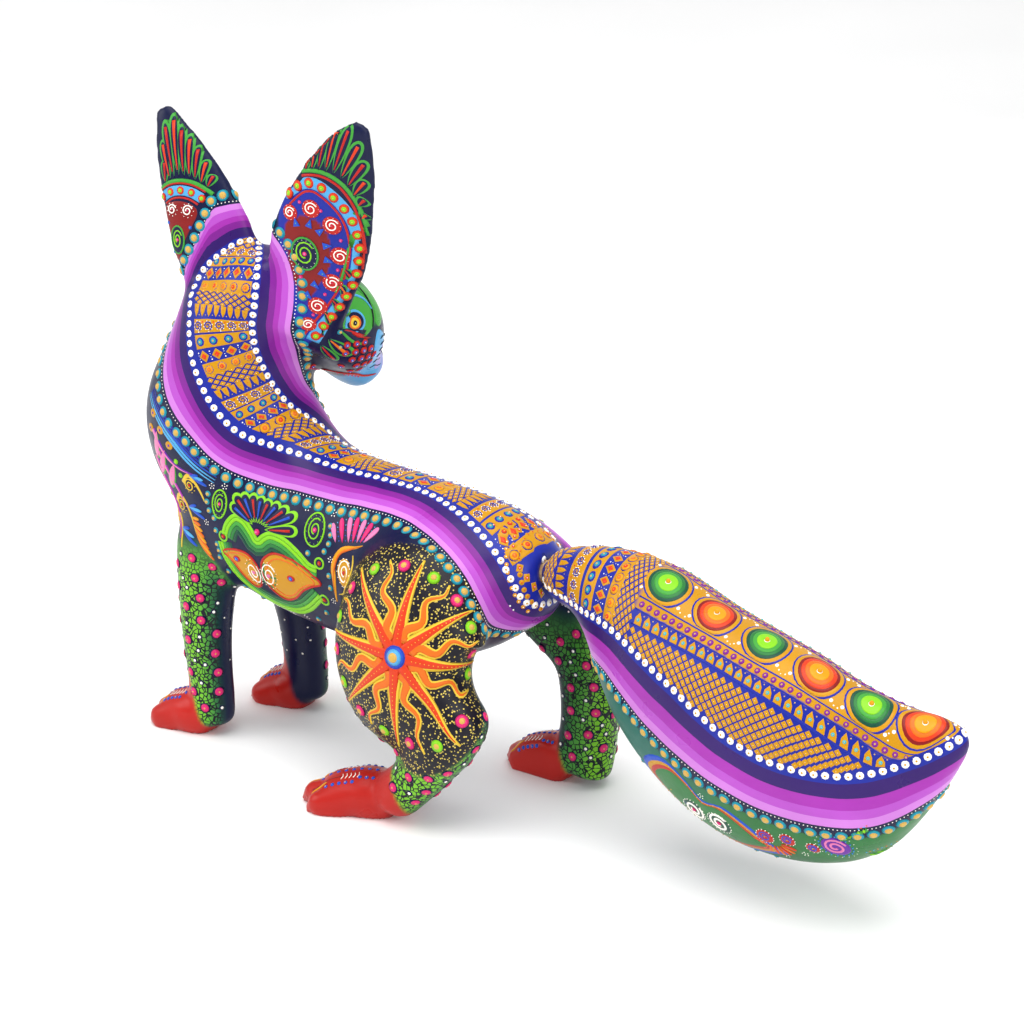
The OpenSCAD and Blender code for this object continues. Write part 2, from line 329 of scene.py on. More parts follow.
def loop_distance(s, loop, v, reach):
    """Distance from the loop, negative on its inner side; the loop runs with its inside to the right."""
    k = len(loop)
    a = loop
    b = np.roll(loop, -1, 0)
    t = (b - a) / np.linalg.norm(b - a, axis=1)[:, None]
    normals = np.array([s.nearest(p)[1] for p in lerp(a, b, 0.5)])
    out_way = np.cross(normals, t)
    best = np.full(len(v), 1e9)
    side = np.ones(len(v))
    for i in range(k):
        d = v - a[i]
        h = np.clip(d @ t[i], 0, np.linalg.norm(b[i] - a[i]))
        r = d - h[:, None] * t[i]
        m = np.einsum("ij,ij->i", r, r)
        near = m < best
        best[near] = m[near]
        side[near] = np.sign((d @ out_way[i])[near])
    best = np.sqrt(best)
    return np.where((side < 0) & (best < reach), -best, best)


band = loop_distance(skin, bead_loop, skin_v, 14.5)
if np.median(band[np.linalg.norm(skin_v - lerp(near_line[100], far_line[100], 0.5), axis=1) < 6]) > 0:
    band = loop_distance(skin, bead_loop[::-1], skin_v, 14.5)
# the stripes widen down the front of the neck
widen = 1 + 0.28 * step(-126, -146, skin_v[:, 0]) * step(112, 122, skin_v[:, 2])
tight = 1 + 1.5 * step(166, 176, skin_v[:, 2]) * step(-133, -144, skin_v[:, 0])
band = np.where(band > 0, band * tight / widen, band)
band = spread(band, links, 2)

# ------------------------------------------------------------------ paints
def linear(code):
    out = []
    for i in (1, 3, 5):
        c = int(code[i:i + 2], 16) / 255
        out.append(c / 12.92 if c <= 0.04045 else ((c + 0.055) / 1.055) ** 2.4)
    return np.array(out + [1.0])


def paint_tone(name):
    """A paint's colour: all but the white are laid a little deeper than they look in bright light."""
    c = linear(PAINTS.get(name, name))
    return c if name == "white" else c * (PAINT_DEPTH, PAINT_DEPTH, PAINT_DEPTH, 1)


PAINTS = {
    "navy": "#0b1440", "black": "#0a0d1c", "ultramarine": "#1b2ca6", "blue": "#2457d0", "ochre": "#d99a08",
    "gold": "#e0b558", "amber": "#f2a40a", "orange": "#f0741a", "redorange": "#e6401a", "red": "#c9241c",
    "deepred": "#8e1717", "teal": "#1f9db4", "white": "#f6f2e8", "indigo": "#35136f", "violet": "#6f24a8",
    "magenta": "#b233bb", "deepmagenta": "#8a219c", "orchid": "#c455d4", "paleorchid": "#df88ea",
    "lime": "#8ede20", "midgreen": "#46a83e", "green": "#2c7f3c", "darkgreen": "#14513c", "sky": "#58b4ec",
    "hotpink": "#ee2a7a", "pink": "#f485bd", "yellow": "#f6cf3e", "lilac": "#b7a6ea", "aqua": "#3fc3cf",
}


def paint_nodes(name):
    """A new material with its shader and an object-space position."""
    mat = bpy.data.materials.new(name)
    mat.use_nodes = True
    tree = mat.node_tree
    shader = tree.nodes["Principled BSDF"]
    place = tree.nodes.new("ShaderNodeTexCoord").outputs["Object"]
    return mat, tree, shader, place


def noise(tree, place, scale, detail=2.0, low=0.0, high=1.0):
    n = tree.nodes.new("ShaderNodeTexNoise")
    n.inputs["Scale"].default_value = scale
    n.inputs["Detail"].default_value = detail
    tree.links.new(place, n.inputs["Vector"])
    m = tree.nodes.new("ShaderNodeMapRange")
    m.inputs["From Min"].default_value = 0.3
    m.inputs["From Max"].default_value = 0.7
    m.inputs["To Min"].default_value = low
    m.inputs["To Max"].default_value = high
    tree.links.new(n.outputs["Fac"], m.inputs["Value"])
    return m.outputs["Result"]


def finish_coat(tree, shader, place, low, high, bump, scale=260):
    tree.links.new(noise(tree, place, 90, 3, low, high), shader.inputs["Roughness"])
    b = tree.nodes.new("ShaderNodeBump")
    b.inputs["Strength"].default_value = bump
    b.inputs["Distance"].default_value = 0.0004
    tree.links.new(noise(tree, place, scale, 2), b.inputs["Height"])
    tree.links.new(b.outputs["Normal"], shader.inputs["Normal"])


made = {}


def paint(colour):
    """The material of one raised paint: one plain colour in a satin, slightly brushed coat."""
    if colour not in made:
        mat, tree, shader, place = paint_nodes("paint_" + colour)
        shader.inputs["Base Color"].default_value = paint_tone(colour)
        shader.inputs["Specular IOR Level"].default_value = 0.22
        finish_coat(tree, shader, place, 0.24, 0.42, 0.12)
        made[colour] = mat
    return made[colour]


def maths(tree, kind, a, b):
    n = tree.nodes.new("ShaderNodeMath")
    n.operation = kind
    for i, x in enumerate((a, b)):
        if isinstance(x, (int, float)):
            n.inputs[i].default_value = x
        else:
            tree.links.new(x, n.inputs[i])
    return n.outputs[0]


def blend_colour(tree, share, a, b, kind="MIX"):
    n = tree.nodes.new("ShaderNodeMix")
    n.data_type = "RGBA"
    n.blend_type = kind
    for i, x in ((0, share), (6, a), (7, b)):
        if isinstance(x, (int, float)):
            n.inputs[i].default_value = x
        elif isinstance(x, np.ndarray):
            n.inputs[i].default_value = x
        else:
            tree.links.new(x, n.inputs[i])
    return n.outputs[2]


def attribute(tree, name, out="Fac"):
    n = tree.nodes.new("ShaderNodeAttribute")
    n.attribute_name = name
    return n.outputs[out]


def banded_skin(name, stripes, under):
    """Base paint: stripes by distance from the bead line, then the areas painted point by point."""
    mat, tree, shader, place = paint_nodes(name)
    d = attribute(tree, "band")
    low, span = -20.0, 60.0
    ramp = tree.nodes.new("ShaderNodeValToRGB")
    ramp.color_ramp.interpolation = "CONSTANT"
    ramp.color_ramp.elements.remove(ramp.color_ramp.elements[1])
    ramp.color_ramp.elements[0].position = 0
    ramp.color_ramp.elements[0].color = paint_tone(under)
    for start, colour in stripes:
        e = ramp.color_ramp.elements.new((start - low) / span)
        e.color = paint_tone(colour)
    tree.links.new(maths(tree, "DIVIDE", maths(tree, "SUBTRACT", d, low), span), ramp.inputs["Fac"])
    area = attribute(tree, "area", "Color")
    net = tree.nodes.new("ShaderNodeTexVoronoi")
    net.feature = "DISTANCE_TO_EDGE"
    net.inputs["Scale"].default_value = 560
    tree.links.new(place, net.inputs["Vector"])
    warp = noise(tree, place, 500, 2, 0.05, 0.17)
    lines = maths(tree, "LESS_THAN", net.outputs["Distance"], warp)
    area = blend_colour(tree, maths(tree, "MULTIPLY", lines, attribute(tree, "net")), area,
                        paint_tone("black"))
    speck = tree.nodes.new("ShaderNodeTexVoronoi")
    speck.inputs["Scale"].default_value = 950
    tree.links.new(place, speck.inputs["Vector"])
    spots = maths(tree, "LESS_THAN", speck.outputs["Distance"], 0.3)
    area = blend_colour(tree, maths(tree, "MULTIPLY", spots, attribute(tree, "speck")), area,
                        paint_tone("#e8cf60"))
    outside = maths(tree, "ADD", maths(tree, "GREATER_THAN", d, stripes[-1][0]),
                    maths(tree, "LESS_THAN", d, -1.9))
    colour = blend_colour(tree, outside, ramp.outputs["Color"], area)
    worn = noise(tree, place, 35, 4, 0.86, 1.06)
    tone = tree.nodes.new("ShaderNodeCombineColor")
    for i in range(3):
        tree.links.new(worn, tone.inputs[i])
    colour = blend_colour(tree, 1.0, colour, tone.outputs[0], "MULTIPLY")
    tree.links.new(colour, shader.inputs["Base Color"])
    shader.inputs["Specular IOR Level"].default_value = 0.22
    finish_coat(tree, shader, place, 0.26, 0.44, 0.1, 180)
    return mat


def wood(name):
    """Bare copal wood with a fine grain."""
    mat, tree, shader, place = paint_nodes(name)
    stretch = tree.nodes.new("ShaderNodeMapping")
    stretch.inputs["Scale"].default_value = (1, 6, 6)
    tree.links.new(place, stretch.inputs["Vector"])
    grain = noise(tree, stretch.outputs["Vector"], 60, 6)
    colour = blend_colour(tree, grain, linear("#d9b88a"), linear("#b98d5c"))
    tree.links.new(colour, shader.inputs["Base Color"])
    finish_coat(tree, shader, place, 0.55, 0.75, 0.3, 400)
    return mat


# ------------------------------------------------------------------ base colours, point by point
def fill(colours, amount, code):
    """Lays a colour over the points by amount, 0 to 1."""
    c = paint_tone(code)
    colours[:] = colours + amount[:, None] * (c - colours)


LEG_LINES = {
    "front_left_leg": [(-112, -15, 76), (-113, -16, 60), (-113, -18, 40), (-112, -18, 20), (-112, -18, 7)],
    "front_right_leg": [(-105, 14, 76), (-102, 16, 60), (-99, 19, 40), (-98, 20, 20), (-98, 20, 7)],
    "hind_left_leg": [(6, -35, 46), (14, -37, 45), (12, -38, 36), (1, -36, 22), (-12, -35, 9)],
    "hind_right_leg": [(17, 25, 62), (26, 27, 48), (27, 27, 30), (26, 27, 16), (24, 26, 7)],
}
GREEN_SIDE = {"front_left_leg": (-0.6, -0.8), "front_right_leg": (-0.3, 0.95), "hind_left_leg": (0.3, -0.95),
              "hind_right_leg": (0.95, -0.3)}
# Each red paw starts in front of this x and below this z, counted from CENTRE
PAWS = {"front_left_leg": (-114, 15), "front_right_leg": (-100, 14), "hind_left_leg": (-10, 17),
        "hind_right_leg": (19, 14)}
SUN = np.array([-24.8, -43.8, 67.5])
x, y, z = skin_v.T
area = np.tile(paint_tone("navy"), (len(skin_v), 1))
net = np.zeros(len(skin_v))
speck = np.zeros(len(skin_v))
for name, line in LEG_LINES.items():
    k = NAMES.index(name)
    on_leg = spread((owner == k).astype(float), links, 6)
    top = {"front_left_leg": 72, "front_right_leg": 58, "hind_left_leg": 52, "hind_right_leg": 60}[name]
    outer = on_leg * step(top + 10, top - 8, z)
    # the green is on one side of each leg, and the other faces stay dark
    facing = skin_n @ unit(GREEN_SIDE[name] + (0,))
    lit = outer * step(-0.55, 0.1, facing)
    fill(area, lit, "darkgreen")
    fill(area, lit * step(-0.2, 0.6, facing), "midgreen")
    fill(area, lit * step(0.1, 0.9, facing) * 0.75, "lime")
    net = np.maximum(net, lit * step(-0.5, 0.0, facing))
    px, pz = PAWS[name]
    turn = math.radians(19 if name == "hind_left_leg" else 0)
    ahead = -((x - px - CENTRE[0]) * math.cos(turn) + (y - line[-1][1] - CENTRE[1]) * math.sin(turn))
    paw = on_leg * step(-1.2, 1.2, ahead - 0.35 * (z - pz) * (z > 0)) * step(26, 23, z)
    fill(area, paw, "red")
    net *= 1 - paw
hind = spread((owner == NAMES.index("hind_left_leg")).astype(float), links, 2)
sun_way = unit((0.03, -0.98, 0.19))
sun_heart = SUN - SUN_BALL * sun_way
ray = skin_v - sun_heart
sun_r = SUN_BALL * np.arccos(np.clip((ray @ sun_way) / np.linalg.norm(ray, axis=1), -1, 1))
in_sun = hind * step(SUN_REACH + 1.5, SUN_REACH, sun_r)
fill(area, in_sun, "#16141f")
speck = in_sun
net = net * (1 - in_sun)
fill(area, (band < -1).astype(float), "ultramarine")
# the face: a green forehead, and a muzzle that fades from light blue to lilac
on_head = spread((owner == 1).astype(float), links, 3) * step(20, 23, y)
fill(area, on_head * step(156, 160, z), "midgreen")
fill(area, on_head * step(166, 171, z), "green")
muzzle = on_head * step(25, 28, y + 0.25 * (142 - z)) * step(152, 149, z)
fill(area, muzzle, "sky")
fill(area, muzzle * step(34, 43, y), "lilac")

# ------------------------------------------------------------------ pieces
def mesh_object(name, v, faces, body, mats, index=None, normals=None, fields=None, colours=None):
    me = bpy.data.meshes.new(name)
    faces = np.asarray(faces, np.int32)
    k = faces.shape[1]
    me.vertices.add(len(v))
    me.vertices.foreach_set("co", (np.asarray(v) * MM).ravel())
    me.loops.add(faces.size)
    me.loops.foreach_set("vertex_index", faces.ravel())
    me.polygons.add(len(faces))
    me.polygons.foreach_set("loop_start", np.arange(0, faces.size, k, dtype=np.int32))
    me.polygons.foreach_set("use_smooth", np.ones(len(faces), bool))
    for m in mats:
        me.materials.append(m)
    if index is not None:
        me.polygons.foreach_set("material_index", np.asarray(index, np.int32))
    me.update(calc_edges=True)
    me.validate()
    for key, values in (fields or {}).items():
        me.attributes.new(key, "FLOAT", "POINT").data.foreach_set("value", values.astype(np.float32))
    for key, values in (colours or {}).items():
        me.attributes.new(key, "FLOAT_COLOR", "POINT").data.foreach_set("color",
                values.astype(np.float32).ravel())
    if normals is not None:
        me.normals_split_custom_set_from_vertices(normals.tolist())
    ob = bpy.data.objects.new(name, me)
    scene.collection.objects.link(ob)
    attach(ob, body)
    return ob


def rims(tri):
    """The open rims of a cut-out part of a skin, as loops of point numbers."""
    e = np.vstack([tri[:, [0, 1]], tri[:, [1, 2]], tri[:, [2, 0]]])
    have = set(map(tuple, e.tolist()))
    follow = {}
    for a, b in have:
        if (b, a) not in have:
            follow.setdefault(a, []).append(b)
    loops = []
    while follow:
        start = next(iter(follow))
        loop, at = [start], start
        while True:
            nxt = follow[at].pop()
            if not follow[at]:
                del follow[at]
            if nxt == start:
                break
            loop.append(nxt)
            at = nxt
        loops.append(loop)
    return loops


def skin_piece(name, tri, v, n, fields, colours, body, slot, mat, *replaced):
    """One carved piece: its share of the skin, closed where it meets its neighbour."""
    used = np.unique(tri)
    index = np.zeros(len(v), np.int64)
    index[used] = np.arange(len(used))
    pv, pn, pt = v[used], n[used], index[tri]
    f = {k: a[used] for k, a in fields.items()}
    c = {k: a[used] for k, a in colours.items()}
    caps_v, caps_n, caps_t, take = [], [], [], []
    base = len(pv)
    for loop in rims(pt):
        ring = pv[loop]
        mid = ring.mean(0)
        way = unit(-np.cross(ring - mid, np.roll(ring, -1, 0) - mid).sum(0))
        m = len(loop)
        caps_v += [ring, mid[None]]
        caps_n += [np.tile(way, (m + 1, 1))]
        caps_t += [[base + (i + 1) % m, base + i, base + m] for i in range(m)]
        take += list(loop) + [loop[0]]
        base += m + 1
    if take:
        pv, pn = np.vstack([pv] + caps_v), np.vstack([pn] + caps_n)
        pt = np.vstack([pt, caps_t])
        f = {k: np.concatenate([a, a[take]]) for k, a in f.items()}
        c = {k: np.vstack([a, a[take]]) for k, a in c.items()}
    ob = mesh_object(name, pv, pt, body, [mat], None, pn, f, c)
    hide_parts(*replaced)
    return ob


# ------------------------------------------------------------------ raised paint
class Zone:
    """A patch of skin with flat coordinates in millimetres; place(u, v) gives point, normal and body."""

    def __init__(self, name, s, place):
        self.name, self.s, self.place, self.seen, self.hand = name, s, place, {}, 1

    def patch(self, u0, v0, per_u=1.0, per_v=1.0):
        """The same skin about one place; per_u and per_v turn millimetres into this zone's units."""
        z = Zone(self.name, self.s, lambda u, v: self.at(u0 + u * per_u, v0 + v * per_v))
        return z.turned()

    def turned(self, u=0.0, v=0.0):
        """Finds which way round the coordinates run, seen from outside."""
        a, n, _ = self.at(u, v)
        b, c = self.at(u + 0.5, v)[0] - a, self.at(u, v + 0.5)[0] - a
        self.hand = 1 if np.cross(b, c) @ n > 0 else -1
        return self

    def at(self, u, v):
        key = (round(u, 3), round(v, 3))
        if key not in self.seen:
            self.seen[key] = self.place(u, v)
        return self.seen[key]


laid = {}        # (zone name, body) -> {colour: [points, faces]}


def lay(zone, body, colour, points, faces):
    v, f = laid.setdefault((zone, str(body)), {}).setdefault(colour, ([], []))
    base = sum(len(p) for p in v)
    v.append(np.array(points))
    f.extend([tuple(base + i for i in face) for face in faces])


# the corners of a regular polygon, by its number of sides
CORNERS = {k: [(math.cos(2 * math.pi * i / k), math.sin(2 * math.pi * i / k)) for i in range(k)]
       for k in (6, 9, 14, 22)}


def dome(zone, body, p, n, r, colour, h=None, base=0.0):
    """A drop of paint: a closed low dome at p."""
    h = 0.42 * r if h is None else h
    k = 6 if r < 0.7 else 9 if r < 1.6 else 14 if r < 3 else 22
    a = np.array((0.31, 0.2, 0.93))
    a = unit(a - (a @ n) * n)
    b = np.cross(n, unit(a))
    pts = [p + (base + h) * n]
    if r < 0.7:
        pts += [p + r * (c * a + s * b) + (base - 0.12) * n for c, s in CORNERS[k]]
        pts.append(p - 0.35 * n)
        faces = [(0, 1 + i, 1 + (i + 1) % k) for i in range(k)]
        faces += [(k + 1, 1 + (i + 1) % k, 1 + i) for i in range(k)]
    else:
        pts += [p + 0.62 * r * (c * a + s * b) + (base + 0.78 * h) * n for c, s in CORNERS[k]]
        pts += [p + r * (c * a + s * b) + (base - 0.15) * n for c, s in CORNERS[k]]
        pts.append(p - 0.5 * n)
        faces = []
        for i in range(k):
            j = (i + 1) % k
            faces += [(0, 1 + i, 1 + j), (1 + i, 1 + k + i, 1 + k + j), (1 + i, 1 + k + j, 1 + j),
                      (2 * k + 1, 1 + k + j, 1 + k + i)]
    lay(zone, body, colour, pts, faces)


def stack(zone, body, p, n, layers, h=None, level=0.0):
    """Drops on drops, widest first: ((radius, colour), ...)."""
    for r, colour in layers:
        dome(zone, body, p, n, r, colour, h, level)
        level += (0.42 * r if h is None else h) * 0.8


def dot(z, u, v, *layers, h=None, base=0.0):
    p, n, b = z.at(u, v)
    stack(z.name, b, p, n, layers, h, base)


def blob(z, outline, colour, h=0.3, base=0.0):
    """A painted area with a rounded edge, over any outline that its middle can see."""
    o = np.array(outline, float)
    if ((o[:, 0] * np.roll(o[:, 1], -1)) - (o[:, 1] * np.roll(o[:, 0], -1))).sum() * z.hand < 0:
        o = o[::-1]
    full = []
    for a, b in zip(o, np.roll(o, -1, 0)):
        m = max(int(math.ceil(np.linalg.norm(b - a) / 3.0)), 1)
        full += [lerp(a, b, i / m) for i in range(m)]
    o = np.array(full)
    m = o.mean(0)
    k = len(o)
    rings = max(int(np.linalg.norm(o - m, axis=1).max() / 3.0), 1)
    levels = [(share, h) for share in np.linspace(0, 0.86, rings + 1)[1:]] + [(0.95, 0.75 * h), (1.0, -0.12)]
    p, n, b = z.at(*m)
    pts = [p + (base + h) * n]
    for share, up in levels:
        for q in o:
            a, an, _ = z.at(*(m + share * (q - m)))
            pts.append(a + (base + up) * an)
    pts.append(p - (0.5 + 0.08 * np.linalg.norm(o - m, axis=1).max() * rings) * n)
    faces = []
    last = len(levels) - 1
    for i in range(k):
        j = (i + 1) % k
        faces.append((0, 1 + i, 1 + j))
        for ring in range(last):
            a, c = 1 + ring * k, 1 + (ring + 1) * k
            faces += [(a + i, c + i, c + j), (a + i, c + j, a + j)]
        faces.append((len(levels) * k + 1, 1 + last * k + j, 1 + last * k + i))
    lay(z.name, b, colour, pts, faces)


def ribbon(z, path, width, colour, h=0.28, base=0.0, closed=False, taper=None):
    """A brush stroke along a path; width may be one number or one for each end, and taper thins both ends."""
    path = np.array(path, float)
    m = len(path)
    bodies = [z.at(*q)[2] for q in path]
    if len(set(bodies)) > 1:
        # a stroke that crosses a joint is laid in pieces, one to each body
        w = np.linspace(*width, m) if np.ndim(width) == 1 and len(width) == 2 else np.broadcast_to(width,
                (m,))
        cuts = [0] + [i for i in range(1, m) if bodies[i] != bodies[i - 1]] + [m]
        for a, b in zip(cuts, cuts[1:]):
            if b - a > 1:
                ribbon(z, path[a:b], (w[a], w[b - 1]), colour, h, base)
        return
    w = np.broadcast_to(width, (m,)) / 2 if np.ndim(width) != 1 or len(width) != 2 else np.linspace(*width,
            m) / 2
    if taper:
        t = np.linspace(0, 1, m)
        w = w * np.clip(np.minimum(t, 1 - t) / taper, 0.08, 1) ** 0.6
    if closed:
        d = np.roll(path, -1, 0) - np.roll(path, 1, 0)
    else:
        d = np.gradient(path, axis=0)
    side = np.stack([-d[:, 1], d[:, 0]], 1)
    side /= np.maximum(np.linalg.norm(side, axis=1), 1e-9)[:, None]
    side *= z.hand
    pts = []
    middle = None
    for i in range(m):
        q, o = path[i], side[i] * w[i]
        p0, n0, b = z.at(*q)
        l, ln, _ = z.at(*(q + o))
        r, rn, _ = z.at(*(q - o))
        hh = min(h, 0.9 * w[i] + 0.05)
        pts += [r + (base - 0.12) * rn, lerp(p0, r, 0.55) + (base + 0.8 * hh) * n0, p0 + (base + hh) * n0,
                lerp(p0, l, 0.55) + (base + 0.8 * hh) * n0, l + (base - 0.12) * ln, p0 + (base - 0.4) * n0]
        if middle is None or i == m // 2:
            middle = b
    faces = []
    for i in range(m if closed else m - 1):
        a, c = 6 * i, 6 * ((i + 1) % m)
        for j in range(6):
            k = (j + 1) % 6
            faces += [(a + j, c + j, c + k), (a + j, c + k, a + k)]
    if not closed:
        faces += [(0, j, j + 1) for j in range(1, 5)]
        e = 6 * (m - 1)
        faces += [(e, e + j + 1, e + j) for j in range(1, 5)]
    lay(z.name, middle, colour, pts, faces)


def dots_at(z, places, *layers, h=None, base=0.0):
    for u, v in places:
        dot(z, u, v, *layers, h=h, base=base)


def dots_along(z, path, pitch, *layers, closed=False, h=None):
    dots_at(z, spaced(path, pitch, closed), *layers, h=h)


def circle(u, v, r, k=24, start=0.0, squash=1.0, turn=0.0):
    a = np.linspace(0, 2 * math.pi, k, endpoint=False) + start
    c, s = r * np.cos(a), r * squash * np.sin(a)
    return np.stack([u + c * math.cos(turn) - s * math.sin(turn),
                     v + c * math.sin(turn) + s * math.cos(turn)], 1)


def ring(z, u, v, r, width, colour, k=24, squash=1.0, turn=0.0, h=0.28, base=0.0):
    ribbon(z, circle(u, v, r, k, 0, squash, turn), width, colour, h, base, closed=True)


def coil(u, v, r, turns=2.2, start=0.0, inner=0.15, squash=1.0, turn=0.0, k=14, hand=1):
    """A spiral line from the rim inwards."""
    m = int(k * turns)
    t = np.linspace(0, 1, m)
    a = start + hand * 2 * math.pi * turns * t
    rr = r * (1 - (1 - inner) * t)
    c, s = rr * np.cos(a), rr * squash * np.sin(a)
    return np.stack([u + c * math.cos(turn) - s * math.sin(turn),
                     v + c * math.sin(turn) + s * math.cos(turn)], 1)


def petal(z, root, tip, width, colour, h=0.35, base=0.0, fat=0.6, k=7):
    """A drop-shaped stroke from root to tip, widest at fat of its length."""
    a, b = np.array(root, float), np.array(tip, float)
    d = b - a
    s = np.array([-d[1], d[0]]) / max(np.linalg.norm(d), 1e-9)
    t = np.sin(np.pi / 2 * np.linspace(0, 1, k + 2))
    w = width / 2 * np.where(t < fat, np.sin(np.pi / 2 * t / fat) ** 0.8,
                             np.sqrt(np.clip(1 - ((t - fat) / (1 - fat)) ** 2, 0, 1)))
    up = [a + d * ti + s * wi for ti, wi in zip(t, w)]
    down = [a + d * ti - s * wi for ti, wi in zip(t[1:-1][::-1], w[1:-1][::-1])]
    blob(z, up + down, colour, h, base)


def flower(z, u, v, r=1.0, colour="white", centre=None, k=5, drop=0.42):
    for i in range(k):
        a = 2 * math.pi * i / k + 0.4
        dot(z, u + r * math.cos(a), v + r * math.sin(a), (drop, colour))
    dot(z, u, v, (drop * 0.9, centre or colour))


def flowers(z, places, r=1.0):
    for u, v in places:
        flower(z, u, v, r)


def contour(s, field, level, allowed=None):
    """The lines on a skin where a field has one value, as rows of 3-D points."""
    f = field - level
    tri = s.t
    sign = f[tri] > 0
    cross = np.nonzero(sign.any(1) & ~sign.all(1))[0]
    if allowed is not None:
        cross = cross[allowed[cross]]
    where, links_of = {}, {}
    for t in cross:
        ends = []
        for i in range(3):
            a, b = tri[t][i], tri[t][(i + 1) % 3]
            if (f[a] > 0) != (f[b] > 0):
                key = (min(a, b), max(a, b))
                if key not in where:
                    q = f[key[0]] / (f[key[0]] - f[key[1]])
                    where[key] = lerp(s.v[key[0]], s.v[key[1]], q)
                ends.append(key)
        if len(ends) == 2:
            links_of.setdefault(ends[0], []).append(ends[1])
            links_of.setdefault(ends[1], []).append(ends[0])
    lines = []
    left = dict(links_of)
    starts = [k for k, n in links_of.items() if len(n) == 1] + list(links_of)
    done = set()
    for start in starts:
        if start in done:
            continue
        line, at = [start], start
        done.add(start)
        while True:
            nxt = [k for k in left[at] if k not in done]
            if not nxt:
                break
            at = nxt[0]
            done.add(at)
            line.append(at)
        closed = len(line) > 3 and line[0] in left[line[-1]]
        if len(line) > 4:
            lines.append((np.array([where[k] for k in line]), closed))
    return lines


def beads(name, s, field, level, pitch, *layers, allowed=None, h=None, keep=None):
    """Even drops of paint along a line of one field value."""
    for line, closed in contour(s, field, level, allowed):
        for p in spaced(line, pitch, closed):
            if keep is None or keep(p):
                q, n, b = s.nearest(p)
                stack(name, b, q, n, layers, h)

# ------------------------------------------------------------------ beads of the body
ear_faces = np.isin(face_owner, (6, 7))
not_ear = ~ear_faces
beads("beads_body", skin, band, 0.0, 3.5, (1.42, "white"), (0.55, "ochre"), allowed=not_ear, h=0.5)
beads("beads_body", skin, band, FINE_BEADS, 1.35, (0.36, "white"), h=0.22)
beads("beads_body", skin, band, TEAL_BEADS, 4.9, (2.25, "teal"), (1.45, "gold"), h=0.5,
      keep=lambda p: not (p[0] > -12 and p[1] > 0))
stripes = [(-0.9, "ultramarine"), (1.4, "indigo"), (4.8, "deepmagenta"), (7.0, "magenta"), (9.0, "orchid"),
           (11.4, "paleorchid"), (13.4, "navy")]

# ------------------------------------------------------------------ rows of the back strip
def strip_point(s, t):
    i = np.clip(s, 0, 35) * 4
    lo = int(min(i, 139))
    f = i - lo
    a = lerp(near_line[lo], near_line[lo + 1], f)
    b = lerp(far_line[lo], far_line[lo + 1], f)
    return skin.nearest(lerp(a, b, t) + 2.0 * outward(s))


def outward(s):
    """Roughly which way the strip faces at row s."""
    return np.array([0.25 * (s < 12), 0.0 if s > 22 else 0.25, 0.9])


strip = Zone("strip", skin, strip_point)


def row_size(k):
    """Length and width of row k of the strip."""
    length = np.linalg.norm(strip_point(k + 0.5, 0.5)[0] - strip_point(k - 0.5, 0.5)[0])
    width = np.linalg.norm(strip_point(k, 0)[0] - strip_point(k, 1)[0])
    return length, width


